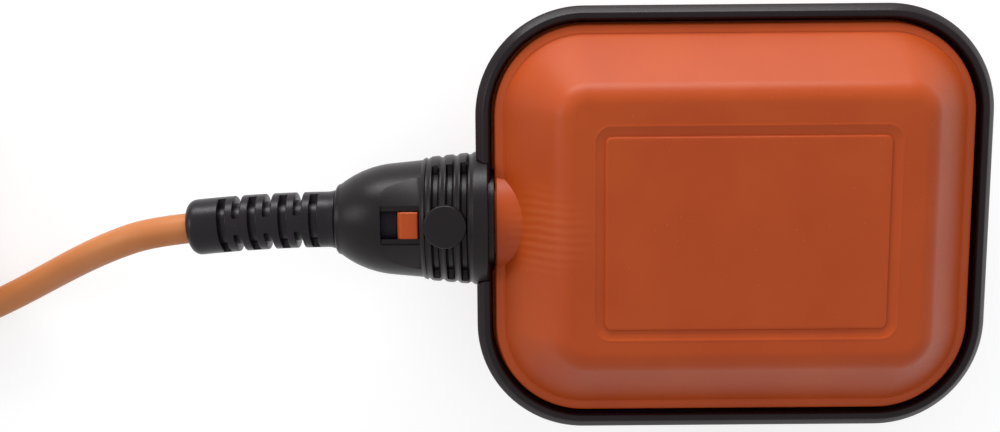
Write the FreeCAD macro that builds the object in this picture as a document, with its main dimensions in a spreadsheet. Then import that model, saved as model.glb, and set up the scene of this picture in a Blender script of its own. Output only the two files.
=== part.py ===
"""Float switch: two moulded shells in a seal frame, a cable gland, and a ball switch inside.

The float lies on its back shell. The origin is the middle of the back shell's flat, on the
surface it lies on. +X runs along the float away from the cable, +Y across it and +Z up
through its front face. All lengths are millimetres.
"""
import FreeCAD, Part

import math
import os

import Sketcher

SIZES = [
    ("body_length", 105.0, "float, outside the seal frame, along X"),
    ("body_width", 87.0, "float, outside the seal frame, along Y"),
    ("corner_radius", 22.0, "outside corner of the seal frame, seen from the front"),
    ("half_thickness", 20.0, "parting plane to the flat of either shell"),
    ("lip_width", 3.0, "wall of the seal frame"),
    ("lip_rise", 7.5, "seal frame above and below the parting plane"),
    ("lip_round", 1.1, "rounding of the seal frame's outer edges"),
    ("bead_width", 0.7, "bead of the frame that holds the flanges down"),
    ("bead_thickness", 1.4, "height of that bead"),
    ("seam_gap", 0.1, "clearance between the frame and the shells"),
    ("flange_rise", 2.5, "thickness of a shell's flange"),
    ("ledge_width", 2.1, "flat ledge of the flange, between the bead and the bevel"),
    ("bevel_run", 10.1, "how far the bevel leans in over its height"),
    ("face_round", 5.5, "rounding between the bevel and the flat"),
    ("shell_wall", 2.2, "wall behind the flat"),
    ("bevel_wall", 2.5, "wall of the bevel, measured level"),
    ("panel_length", 58.5, "outline of the label panel, along X"),
    ("panel_width", 41.4, "outline of the label panel, along Y"),
    ("panel_line", 2.0, "width of the panel's groove"),
    ("panel_depth", 0.45, "depth of the panel's groove"),
    ("panel_corner", 3.1, "outside corner of the panel's groove"),
    ("bump_radius", 10.45, "round of the swelling where the neck leaves the bevel"),
    ("bump_drop", 2.05, "its centre, below the parting plane"),
    ("bump_length", 8.4, "its reach from the flange's edge into the bevel"),
    ("neck_radius", 9.0, "half-round neck that carries the gland cap"),
    ("neck_length", 19.1, "neck, from the flange's edge"),
    ("neck_bore_radius", 5.6, "bore for the grommet"),
    ("neck_bore_depth", 8.0, "depth of that bore"),
    ("cable_radius", 3.2, "round sheath of the cable"),
    ("cable_play", 0.1, "clearance round the cable in its gland"),
    ("tab_length", 4.2, "snap tab on the neck, along X"),
    ("tab_width", 5.4, "snap tab, across"),
    ("tab_rise", 2.2, "snap tab above the neck"),
    ("tab_from_end", 0.2, "snap tab, from the neck's free end"),
    ("cap_gap", 0.6, "gland cap, clear of the flange's edge"),
    ("skirt_length", 13.7, "ribbed skirt of the gland cap"),
    ("skirt_root_radius", 14.2, "skirt at the float"),
    ("skirt_end_radius", 12.95, "last rib of the skirt"),
    ("rib_step", 1.0, "bevel behind the last rib"),
    ("slot_pitch", 2.9, "spacing of the skirt's grip slots"),
    ("slot_first", 4.85, "first grip slot, from the cap's open end"),
    ("slot_width", 1.3, "width of a grip slot"),
    ("slot_floor", 11.5, "radius of the slots' floor"),
    ("slot_end_rise", 6.2, "ends of a slot, above and below the cable's axis"),
    ("slot_reach", 16.0, "how far a slot's cutter reaches outside the skirt"),
    ("wave_radius", 1.0, "round section of the shallow waist between two slots"),
    ("wave_depth", 0.4, "depth of that waist"),
    ("wave_lead", 1.1, "waist, from its slot towards the cap's open end"),
    ("dome_length", 18.1, "dome of the gland cap"),
    ("dome_root_radius", 12.3, "dome at the skirt"),
    ("dome_shoulder", 6.3, "straight part of the dome"),
    ("dome_shoulder_radius", 11.7, "dome where its curve starts"),
    ("dome_curve", 21.0, "radius of the dome's curve"),
    ("dome_tip_radius", 6.7, "dome at the cable boot"),
    ("cap_bore_radius", 9.3, "bore of the cap over the neck"),
    ("cap_seat_radius", 7.5, "pocket in the dome for the boot's flange and the washer"),
    ("cap_tip_wall", 3.0, "wall of the dome at the cable boot"),
    ("window_length", 8.0, "snap window of the cap, along X"),
    ("window_width", 7.9, "snap window, across"),
    ("facet_near", 2.2, "flat beside the window: its inner edge, across"),
    ("facet_near_rise", 12.0, "height of that edge above the cable's axis"),
    ("facet_far", 9.3, "its outer edge, across"),
    ("facet_far_rise", 7.9, "height of that edge"),
    ("facet_length", 9.2, "flat beside the window, along X"),
    ("facet_clear", 4.0, "how far its cutter stands outside the dome"),
    ("pad_radius", 4.35, "round pad on the skirt"),
    ("pad_from_root", 8.6, "its centre, from the cap's open end"),
    ("pad_base", 11.0, "its foot, above the cable's axis"),
    ("pad_thickness", 2.75, "its height from that foot"),
    ("boot_radius", 5.85, "slotted cable boot"),
    ("boot_length", 31.9, "cable boot outside the cap"),
    ("boot_drift", 1.7, "how far the boot's free end leans towards -Y"),
    ("boot_neck_radius", 5.0, "boot where it passes through the dome"),
    ("boot_neck_play", 0.1, "clearance round that neck"),
    ("boot_flange_radius", 7.2, "flange of the boot inside the dome"),
    ("boot_flange_thickness", 2.5, "thickness of that flange"),
    ("boot_slot_first", 4.4, "first slot, from the dome"),
    ("boot_slot_pitch", 6.3, "spacing of the slots"),
    ("boot_slot_width", 1.45, "width of a slot"),
    ("boot_slot_floor", 4.25, "radius of the slots' floor"),
    ("boot_bridge", 3.4, "rubber left between two slots of a pair"),
    ("boot_edge_round", 1.1, "rounding of the boot's free end"),
    ("washer_radius", 7.2, "thrust washer, outside"),
    ("washer_bore_radius", 3.5, "thrust washer, inside"),
    ("washer_thickness", 1.2, "thrust washer"),
    ("stack_gap", 0.1, "play between the boot, washer and grommet"),
    ("grommet_length", 13.8, "sealing grommet round the cable"),
    ("grommet_play", 0.1, "grommet, clear of its bore"),
    ("grommet_head_length", 5.6, "head of the grommet, between the neck and the dome"),
    ("grommet_head_radius", 9.1, "radius of that head"),
    ("boss_radius", 3.2, "bosses of the back shell"),
    ("boss_top", 7.0, "top of the bosses, above the resting surface"),
    ("boss_bore_radius", 1.25, "screw hole of a boss"),
    ("boss_bore_depth", 4.4, "depth of that hole"),
    ("boss_far_x", 30.0, "bosses towards +X"),
    ("boss_near_x", -22.0, "bosses towards the cable"),
    ("boss_y", 15.0, "bosses, either side of the middle"),
    ("plate_thickness", 2.0, "carrier plate"),
    ("plate_low_x", -34.0, "carrier plate, end towards the cable"),
    ("plate_high_x", 36.0, "carrier plate, far end"),
    ("plate_half_width", 19.0, "carrier plate, half its width"),
    ("plate_corner", 4.0, "corner of the carrier plate"),
    ("mould_sink", 1.0, "how deep a part's added feature starts inside its parent"),
    ("pivot_x", 8.0, "rocker pivot, along X"),
    ("pivot_z", 17.5, "rocker pivot, above the resting surface"),
    ("pin_radius", 1.0, "rocker pivot pin"),
    ("pin_inset", 0.1, "pin, short of the cheeks' outer faces"),
    ("pin_play", 0.05, "running clearance of the pin in the rocker"),
    ("pin_hold", 0.02, "clearance of the pin in its cheeks"),
    ("cheek_gap", 0.6, "cheeks, clear of the rocker"),
    ("cheek_thickness", 2.4, "cheek that holds the pin"),
    ("cheek_length", 9.0, "cheek, along X"),
    ("cheek_top", 21.5, "top of the cheeks"),
    ("trough_length", 43.0, "rocker trough, outside"),
    ("trough_wall", 1.5, "walls and floor of the trough"),
    ("trough_base", 20.2, "underside of the trough"),
    ("roof_room", 2.6, "lid of the trough, clear of the front shell for the tilt"),
    ("lug_radius", 2.4, "pivot lug under the trough"),
    ("lug_width", 13.0, "pivot lug, across"),
    ("nub_reach", 16.0, "actuating nub, from the pivot"),
    ("nub_half_length", 0.8, "actuating nub, half its length"),
    ("nub_width", 2.4, "actuating nub, across"),
    ("nub_drop", 0.75, "actuating nub below the trough"),
    ("lid_thickness", 1.2, "lid of the trough"),
    ("ball_head_room", 0.3, "ball, clear of the lid: the trough's height sets the ball"),
    ("ball_side_play", 0.3, "ball, clear of the side walls"),
    ("ball_play", 0.05, "ball, clear of the floor"),
    ("ball_end_play", 0.1, "ball, clear of the end walls"),
    ("rest_gap", 0.2, "trough, clear of its rest post"),
    ("post_reach", 17.0, "rest post, from the pivot"),
    ("post_length", 3.0, "rest post, along X"),
    ("post_width", 8.0, "rest post, across"),
    ("case_length", 19.8, "microswitch, along X"),
    ("case_offset", 6.0, "microswitch, from the pivot"),
    ("case_height", 9.2, "microswitch case"),
    ("case_low_y", 3.2, "case, its closed side"),
    ("case_high_y", 2.2, "case, its open side"),
    ("cover_thickness", 0.95, "microswitch cover"),
    ("case_wall", 1.0, "walls of the case round its cavity"),
    ("cavity_inset", 1.4, "cavity, from the ends of the case"),
    ("cavity_base", 4.4, "cavity floor above the case's base"),
    ("hole_offset", 5.2, "mounting holes, from the ends of the case"),
    ("hole_rise", 2.8, "mounting holes, above the case's base"),
    ("hole_radius", 1.15, "mounting holes of the case"),
    ("plunger_half_length", 1.4, "plunger, half its length"),
    ("plunger_half_width", 0.7, "plunger, half its width"),
    ("plunger_play", 0.1, "plunger, clear of its slot"),
    ("plunger_foot_half_length", 2.2, "foot that keeps the plunger in"),
    ("plunger_foot_half_width", 1.6, "foot, half its width"),
    ("plunger_foot_thickness", 0.8, "thickness of the foot"),
    ("plunger_tail", 1.3, "plunger below its foot"),
    ("plunger_stand", 0.15, "gap between the nub and the plunger"),
    ("blade_half_width", 1.5, "terminal blade, half its width"),
    ("blade_thickness", 0.5, "terminal blade"),
    ("blade_tip", 3.9, "lowest point of the blades"),
    ("blade_seat", 1.5, "how deep a blade sits in the case"),
    ("blade_hole_radius", 0.6, "hole in a blade"),
    ("blade_inset", 1.9, "outer blades, from the ends of the case"),
    ("blade_play", 0.05, "blade, clear of its slot"),
    ("rib_height", 5.0, "ribs beside the microswitch"),
    ("rib_thickness", 1.6, "ribs beside the microswitch"),
    ("rib_inset", 1.2, "ribs, shorter than the case at each end"),
    ("rib_gap", 0.1, "ribs, clear of the case"),
    ("slot_half_width", 1.2, "slot of the plate for the blades, half its width"),
    ("wire_hole_low_x", -22.5, "hole of the plate for the wires"),
    ("wire_hole_high_x", -13.0, "its other end"),
    ("wire_hole_half_width", 5.0, "its half width"),
    ("saddle_x", -30.0, "cable saddle, along X"),
    ("saddle_half_length", 3.0, "cable saddle, half its length"),
    ("saddle_half_width", 9.0, "cable saddle, half its width"),
    ("clamp_gap", 0.4, "saddle and clamp, each side of the cable's axis"),
    ("clamp_rise", 4.6, "top of the clamp above the cable's axis"),
    ("clamp_half_length", 2.5, "cable clamp, half its length"),
    ("clamp_screw_y", 6.2, "clamp screws, either side of the cable"),
    ("screw_radius", 1.2, "thread of the screws"),
    ("screw_bore_radius", 1.25, "screw holes of the saddle"),
    ("screw_pass_radius", 1.6, "clearance holes for the screws"),
    ("screw_head_radius", 2.6, "pan head of a screw"),
    ("screw_head_height", 1.7, "pan head of a screw"),
    ("screw_slot_width", 0.7, "driver slot of a screw"),
    ("screw_slot_depth", 0.8, "driver slot of a screw"),
    ("carrier_screw_length", 6.0, "screws of the carrier, under the head"),
    ("clamp_screw_length", 9.0, "screws of the clamp, under the head"),
    ("switch_screw_radius", 1.0, "screws through the microswitch"),
    ("switch_screw_hole", 1.05, "their holes in the ribs"),
    ("switch_screw_head", 1.9, "their heads, radius"),
    ("switch_screw_head_height", 1.1, "their heads, height"),
    ("core_radius", 1.05, "insulated wire of the cable"),
    ("sheath_end_x", -25.0, "end of the cable's sheath inside the float"),
    ("coil_x", -211.0, "middle of the put-away coil"),
    ("coil_y", 4.9, "middle of the put-away coil"),
    ("coil_turn_radius", 35.0, "middle turn of the coil"),
    ("coil_entry_bearing", -72.0, "bearing at which the cable joins the coil, in degrees"),
    ("strand_radius", 0.55, "bare copper at the wires' ends"),
    ("strand_length", 5.0, "stripped length of a wire"),
]

# Free cable: places on its route between the boot's end and the coil.
CABLE_ROUTE = [
    (-121.59, -2.55, 20.0),
    (-129.8, -5.3, 18.0),
    (-138.3, -9.0, 13.9),
    (-147.0, -13.3, 9.0),
    (-156.0, -17.9, 5.4),
    (-165.6, -22.4, 3.55),
    (-176.0, -26.6, 3.2),
    (-187.4, -30.8, 3.2),
]

# Wires inside the float, from the sheath's end down through the plate towards their blades.
MIDDLE_WIRE = [
    (-25.0, 0.0, 21.25),
    (-21.8, 0.0, 21.25),
    (-18.6, 0.0, 18.8),
    (-17.3, 0.0, 14.6),
    (-17.0, 0.0, 9.8),
    (-15.3, 0.0, 6.5),
    (-11.6, 0.0, 5.4),
    (0.0, 0.3, 5.4),
]
SIDE_WIRE = [
    (-25.0, 1.1, 19.35),
    (-22.6, 1.1, 19.35),
    (-20.3, 1.7, 16.9),
    (-19.4, 2.1, 13.0),
    (-19.0, 2.3, 9.2),
    (-17.2, 2.4, 6.3),
    (-13.2, 2.5, 5.4),
    (-2.0, 2.8, 5.4),
]

# Stripped wires at the cable's far end, on the coil's inner step: bearings from the coil's
# middle, and each wire's distance from that middle and height there.
TAIL_BEARINGS = (-70.0, -76.0, -86.0, -96.0, -107.0, -118.0, -129.0)
TAIL_PLACES = {
    "brown_wire_end": ((29.69, 15.37), (29.84, 15.37), (30.15, 14.95), (30.45, 14.35),
                       (30.65, 13.95), (30.6, 13.87), (30.3, 13.87)),
    "blue_wire_end": ((28.6, 17.25), (28.76, 17.25), (28.7, 16.75), (28.6, 15.75),
                      (28.52, 14.6), (28.48, 13.95), (28.15, 13.87)),
    "black_wire_end": ((27.51, 15.37), (27.67, 15.37), (27.25, 14.95), (26.75, 14.35),
                       (26.45, 13.95), (26.35, 13.87), (26.0, 13.87)),
}

LINE = Part.LineSegment
VECTOR = FreeCAD.Vector
X_AXIS = VECTOR(1, 0, 0)
Y_AXIS = VECTOR(0, 1, 0)
Z_AXIS = VECTOR(0, 0, 1)
HALF_TURN = 180.0
ARC_SHARE = 0.45


class Dim:
    """A length that knows both its value now and how the spreadsheet works it out."""

    def __init__(self, value, text):
        self.value = value
        self.text = text

    def __add__(self, other):
        other = as_dim(other)
        return Dim(self.value + other.value, f"({self.text} + {other.text})")

    def __sub__(self, other):
        other = as_dim(other)
        return Dim(self.value - other.value, f"({self.text} - {other.text})")

    def __mul__(self, other):
        other = as_dim(other)
        return Dim(self.value * other.value, f"({self.text} * {other.text})")

    def __truediv__(self, other):
        other = as_dim(other)
        return Dim(self.value / other.value, f"({self.text} / {other.text})")

    def __neg__(self):
        return Dim(-self.value, f"(0 - {self.text})")


def as_dim(number):
    """A plain number as a Dim, and a Dim as it is."""
    return number if isinstance(number, Dim) else Dim(float(number), repr(number))


class Sizes:
    """The spreadsheet's cells by name."""

    def __init__(self, sheet):
        for row, (alias, value, meaning) in enumerate(SIZES, start=1):
            sheet.set(f"A{row}", alias)
            sheet.set(f"B{row}", str(value))
            sheet.setAlias(f"B{row}", alias)
            sheet.set(f"C{row}", meaning)
            setattr(self, alias, Dim(value, f"Sheet.{alias}"))


doc = FreeCAD.newDocument("float_switch")
sheet = doc.addObject("Spreadsheet::Sheet", "Sheet")
size = Sizes(sheet)
doc.recompute()
ZERO = as_dim(0)

# Places that several pieces share, worked out once from the sheet.
flange_x = size.body_length / 2 - size.lip_width - size.seam_gap
flange_y = size.body_width / 2 - size.lip_width - size.seam_gap
flange_corner = size.corner_radius - size.lip_width - size.seam_gap
bevel_inset = size.lip_width + size.bead_width + size.ledge_width
bevel_x = size.body_length / 2 - bevel_inset
bevel_y = size.body_width / 2 - bevel_inset
bevel_corner = size.corner_radius - bevel_inset
bevel_rise = size.half_thickness - size.flange_rise
bevel_slope = size.bevel_run / bevel_rise
neck_end = -(flange_x + size.neck_length)
cap_shoulder = neck_end - size.grommet_head_length - size.cap_gap / 2
cap_root = -(flange_x + size.cap_gap)
cap_skirt_end = cap_root - size.skirt_length
cap_tip = cap_skirt_end - size.dome_length
boot_seat = cap_tip + size.cap_tip_wall
plate_top = size.boss_top + size.plate_thickness
trough_half_length = size.trough_length / 2
trough_floor = size.trough_base + size.trough_wall
trough_top = size.half_thickness * 2 - size.shell_wall - size.roof_room - size.lid_thickness
trough_depth = trough_top - trough_floor
ball_radius = (trough_depth - size.ball_head_room) / 2
trough_half_width = ball_radius + size.ball_side_play + size.trough_wall
cheek_low = trough_half_width + size.cheek_gap
cheek_high = cheek_low + size.cheek_thickness
pin_length = (cheek_high - size.pin_inset) * 2
case_low_x = size.pivot_x + size.case_offset
case_high_x = case_low_x + size.case_length
case_top = plate_top + size.case_height
plunger_x = size.pivot_x + size.nub_reach
plunger_top = size.trough_base - size.nub_drop - size.plunger_stand
cable_hole = size.cable_radius + size.cable_play


def vector(across, up):
    """A sketch point from two Dims."""
    return VECTOR(across.value, up.value, 0)


def fix_value(sketch, constraint, dim):
    """Adds a constraint and binds its value to the spreadsheet."""
    index = sketch.addConstraint(constraint)
    sketch.setExpression(f"Constraints[{index}]", dim.text)


def fix_point(sketch, geo, end, across, up):
    """Holds one end of a sketch edge at a place."""
    for kind, dim, axis in (("DistanceX", across, -2), ("DistanceY", up, -1)):
        if dim is ZERO:
            sketch.addConstraint(Sketcher.Constraint("PointOnObject", geo, end, axis))
        else:
            fix_value(sketch, Sketcher.Constraint(kind, -1, 1, geo, end, dim.value), dim)


def draw_outline(sketch, corners):
    """Draws a closed outline. A corner is (across, up), or (across, up, radius, side) where
    an arc runs to the next corner: side 1 bulges to the left of the way there, -1 to the right.
    """
    edges = []
    for index, corner in enumerate(corners):
        follower = corners[(index + 1) % len(corners)]
        start = vector(*corner[:2])
        end = vector(*follower[:2])
        if len(corner) == 2:
            edges.append((sketch.addGeometry(LINE(start, end), False), 1, 2))
            continue
        radius, side = corner[2:]
        chord = end - start
        left = VECTOR(-chord.y, chord.x, 0).normalize()
        height = math.sqrt(radius.value ** 2 - (chord.Length / 2) ** 2)
        centre = (start + end) * 0.5 - left * (height * side)
        first, last = (end, start) if side > 0 else (start, end)
        low = math.atan2(first.y - centre.y, first.x - centre.x)
        high = math.atan2(last.y - centre.y, last.x - centre.x)
        if high < low:
            high += 2 * math.pi
        circle = Part.Circle(centre, Z_AXIS, radius.value)
        geo = sketch.addGeometry(Part.ArcOfCircle(circle, low, high), False)
        fix_value(sketch, Sketcher.Constraint("Radius", geo, radius.value), radius)
        edges.append((geo, 2, 1) if side > 0 else (geo, 1, 2))
    for index, (geo, first, _) in enumerate(edges):
        before, _, last = edges[index - 1]
        sketch.addConstraint(Sketcher.Constraint("Coincident", before, last, geo, first))
        fix_point(sketch, geo, first, *corners[index][:2])


def draw_box(sketch, low_across, low_up, high_across, high_up):
    """Draws an upright rectangle between two corners."""
    draw_outline(sketch, [(low_across, low_up), (high_across, low_up),
                          (high_across, high_up), (low_across, high_up)])


def draw_rounded(sketch, half_across, half_up, radius, middle=ZERO):
    """Draws a rounded rectangle whose middle is on the across axis."""
    left = middle.value - half_across.value
    right = middle.value + half_across.value
    top = half_up.value
    round_off = radius.value
    lines = [
        LINE(VECTOR(left + round_off, -top, 0), VECTOR(right - round_off, -top, 0)),
        LINE(VECTOR(right, round_off - top, 0), VECTOR(right, top - round_off, 0)),
        LINE(VECTOR(right - round_off, top, 0), VECTOR(left + round_off, top, 0)),
        LINE(VECTOR(left, top - round_off, 0), VECTOR(left, round_off - top, 0)),
    ]
    centres = [(right - round_off, round_off - top), (right - round_off, top - round_off),
               (left + round_off, top - round_off), (left + round_off, round_off - top)]
    line_ids = [sketch.addGeometry(line, False) for line in lines]
    arc_ids = []
    for quarter, (across, up) in enumerate(centres):
        circle = Part.Circle(VECTOR(across, up, 0), Z_AXIS, round_off)
        low = (quarter - 1) * math.pi / 2
        arc_ids.append(sketch.addGeometry(Part.ArcOfCircle(circle, low, low + math.pi / 2), False))
    for index in range(4):
        sketch.addConstraint(Sketcher.Constraint("Tangent", line_ids[index], 2, arc_ids[index], 1))
        follower = line_ids[(index + 1) % 4]
        sketch.addConstraint(Sketcher.Constraint("Tangent", arc_ids[index], 2, follower, 1))
        kind = "Horizontal" if index % 2 == 0 else "Vertical"
        sketch.addConstraint(Sketcher.Constraint(kind, line_ids[index]))
    for index in range(1, 4):
        sketch.addConstraint(Sketcher.Constraint("Equal", arc_ids[0], arc_ids[index]))
    fix_value(sketch, Sketcher.Constraint("Radius", arc_ids[0], round_off), radius)
    for geo, kind, dim in ((line_ids[0], "DistanceY", -half_up), (line_ids[2], "DistanceY", half_up),
                           (line_ids[1], "DistanceX", middle + half_across),
                           (line_ids[3], "DistanceX", middle - half_across)):
        fix_value(sketch, Sketcher.Constraint(kind, -1, 1, geo, 1, dim.value), dim)


def draw_circle(sketch, across, up, radius):
    """Draws a circle."""
    geo = sketch.addGeometry(Part.Circle(vector(across, up), Z_AXIS, radius.value), False)
    fix_value(sketch, Sketcher.Constraint("Radius", geo, radius.value), radius)
    fix_point(sketch, geo, 3, across, up)


def new_body(name):
    """A PartDesign body that becomes the sub-part of that name."""
    body = doc.addObject("PartDesign::Body", name)
    body.Label = name
    return body


def new_sketch(body, role, lift=ZERO):
    """A sketch on one of the body's own origin planes, or lifted off it along its normal.

    XY_Plane faces +Z with (X, Y), XZ_Plane faces -Y with (X, Z), YZ_Plane faces +X with (Y, Z).
    """
    plane = next(item for item in body.Origin.OriginFeatures if item.Role == role)
    sketch = body.newObject("Sketcher::SketchObject", f"{body.Label}_sketch")
    sketch.AttachmentSupport = [(plane, "")]
    sketch.MapMode = "FlatFace"
    sketch.setExpression("AttachmentOffset.Base.z", lift.text)
    return sketch


def pad(body, sketch, length, taper=None, both_ways=False):
    """Adds the sketch's outline along its normal."""
    feature = body.newObject("PartDesign::Pad", f"{body.Label}_pad")
    feature.Profile = sketch
    feature.setExpression("Length", length.text)
    feature.Midplane = both_ways
    if taper is not None:
        feature.setExpression("TaperAngle", f"-atan({taper.text})")
    return feature


def cut(body, sketch, depth=None, along_normal=True, taper=None):
    """Cuts the sketch's outline, to a depth one way, or right through both ways."""
    feature = body.newObject("PartDesign::Pocket", f"{body.Label}_cut")
    feature.Profile = sketch
    if depth is None:
        feature.Type = "ThroughAll"
        feature.Midplane = True
        return feature
    feature.setExpression("Length", depth.text)
    feature.Reversed = along_normal
    if taper is not None:
        feature.setExpression("TaperAngle", f"-atan({taper.text})")
    return feature


def revolve(body, sketch, axis="H_Axis"):
    """Turns the sketch's outline round its across axis, or its upright one, V_Axis."""
    feature = body.newObject("PartDesign::Revolution", f"{body.Label}_turned")
    feature.Profile = sketch
    feature.ReferenceAxis = (sketch, [axis])
    feature.Angle = 360.0
    return feature


def round_edges(body, base, radius, wanted):
    """Rounds the edges of the feature for which wanted(edge) holds."""
    doc.recompute()
    names = [f"Edge{number}" for number, edge in enumerate(base.Shape.Edges, start=1) if wanted(edge)]
    feature = body.newObject("PartDesign::Fillet", f"{body.Label}_round")
    feature.Base = (base, names)
    feature.setExpression("Radius", radius.text)
    return feature


def at_height(height):
    """A test for level edges at that height above the sketch plane."""
    return lambda edge: (abs(edge.BoundBox.ZMin - height.value) < 0.001
                         and abs(edge.BoundBox.ZMax - height.value) < 0.001)


def lift_body(body, height):
    """Sets a body, modelled about the cable's axis or the parting plane, at its height."""
    body.setExpression("Placement.Base.z", height.text)


def seal_frame():
    """The black channel that runs round the float and grips both flanges."""
    body = new_body("seal_frame")
    wall = new_sketch(body, "XY_Plane", -size.lip_rise)
    draw_rounded(wall, size.body_length / 2, size.body_width / 2, size.corner_radius)
    base = pad(body, wall, size.lip_rise * 2)
    top = round_edges(body, base, size.lip_round,
                      lambda edge: at_height(size.lip_rise)(edge) or at_height(-size.lip_rise)(edge))
    body.Tip = top
    inside = new_sketch(body, "XY_Plane", -size.lip_rise)
    draw_rounded(inside, size.body_length / 2 - size.lip_width, size.body_width / 2 - size.lip_width,
                 size.corner_radius - size.lip_width)
    cut(body, inside, size.lip_rise * 2)
    bead_inset = size.lip_width + size.bead_width
    for lift in (size.flange_rise + size.seam_gap,
                 -(size.flange_rise + size.seam_gap + size.bead_thickness)):
        bead = new_sketch(body, "XY_Plane", lift)
        draw_rounded(bead, size.body_length / 2 - size.lip_width / 2,
                     size.body_width / 2 - size.lip_width / 2, size.corner_radius - size.lip_width / 2)
        draw_rounded(bead, size.body_length / 2 - bead_inset, size.body_width / 2 - bead_inset,
                     size.corner_radius - bead_inset)
        pad(body, bead, size.bead_thickness)
    mouth = new_sketch(body, "YZ_Plane", -(size.body_length / 2 + size.mould_sink))
    draw_circle(mouth, ZERO, ZERO, size.skirt_root_radius + size.seam_gap)
    cut(body, mouth, bevel_inset + size.mould_sink)
    lift_body(body, size.half_thickness)
    return body


def shell(name, face_up):
    """One moulded half of the float, drawn with its parting plane level and its flat up."""
    body = new_body(name)
    flange = new_sketch(body, "XY_Plane")
    draw_rounded(flange, flange_x, flange_y, flange_corner)
    pad(body, flange, size.flange_rise)
    bevel = new_sketch(body, "XY_Plane", size.flange_rise)
    draw_rounded(bevel, bevel_x, bevel_y, bevel_corner)
    bevelled = pad(body, bevel, bevel_rise, taper=bevel_slope)
    round_edges(body, bevelled, size.face_round, at_height(size.half_thickness))

    neck = new_sketch(body, "YZ_Plane", neck_end)
    draw_circle(neck, ZERO, ZERO, size.neck_radius)
    pad(body, neck, size.neck_length + size.mould_sink / 2)
    bump = new_sketch(body, "YZ_Plane", -flange_x)
    draw_circle(bump, ZERO, -size.bump_drop, size.bump_radius)
    pad(body, bump, size.bump_length)
    tab_top = size.neck_radius + size.tab_rise
    tab_start = neck_end + size.tab_from_end
    tab = new_sketch(body, "XY_Plane", size.neck_radius - size.mould_sink)
    draw_box(tab, tab_start, -(size.tab_width / 2), tab_start + size.tab_length, size.tab_width / 2)
    tab_pad = pad(body, tab, size.tab_rise + size.mould_sink)
    round_edges(body, tab_pad, size.tab_rise / 2,
                lambda edge: at_height(tab_top)(edge) and edge.BoundBox.XMax < tab_start.value + 0.001)
    under = new_sketch(body, "XY_Plane")
    draw_rounded(under, size.body_length, size.body_width, size.corner_radius)
    cut(body, under, size.body_width, along_normal=False)

    wall_gain = size.bevel_wall - size.flange_rise * bevel_slope
    hollow = new_sketch(body, "XY_Plane")
    draw_rounded(hollow, bevel_x - wall_gain, bevel_y - wall_gain, bevel_corner - wall_gain)
    cut(body, hollow, size.half_thickness - size.shell_wall, taper=bevel_slope)
    passage = new_sketch(body, "YZ_Plane", neck_end)
    draw_circle(passage, ZERO, ZERO, cable_hole + size.cable_play)
    cut(body, passage, size.neck_length + size.bump_length)
    bore = new_sketch(body, "YZ_Plane", neck_end)
    draw_circle(bore, ZERO, ZERO, size.neck_bore_radius)
    cut(body, bore, size.neck_bore_depth)
    if not face_up:
        add_bosses(body)
        body.Placement = FreeCAD.Placement(VECTOR(0, 0, 0), FreeCAD.Rotation(X_AXIS, HALF_TURN))
    else:
        add_panel(body)
    lift_body(body, size.half_thickness)
    return body


def add_panel(body):
    """The front shell's bare label panel: a groove in the shape of a rounded frame."""
    groove = new_sketch(body, "XY_Plane", size.half_thickness)
    draw_rounded(groove, size.panel_length / 2, size.panel_width / 2, size.panel_corner)
    draw_rounded(groove, size.panel_length / 2 - size.panel_line, size.panel_width / 2 - size.panel_line,
                 size.panel_corner - size.panel_line)
    cut(body, groove, size.panel_depth, along_normal=False)


def add_bosses(body):
    """Four screw bosses inside the back shell, which is drawn upside down."""
    boss_foot = size.half_thickness - size.boss_top
    for boss_x in (size.boss_near_x, size.boss_far_x):
        for boss_y in (-size.boss_y, size.boss_y):
            boss = new_sketch(body, "XY_Plane", boss_foot)
            draw_circle(boss, boss_x, boss_y, size.boss_radius)
            pad(body, boss, size.boss_top - size.shell_wall / 2)
            hole = new_sketch(body, "XY_Plane", boss_foot)
            draw_circle(hole, boss_x, boss_y, size.boss_bore_radius)
            cut(body, hole, size.boss_bore_depth)


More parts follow.
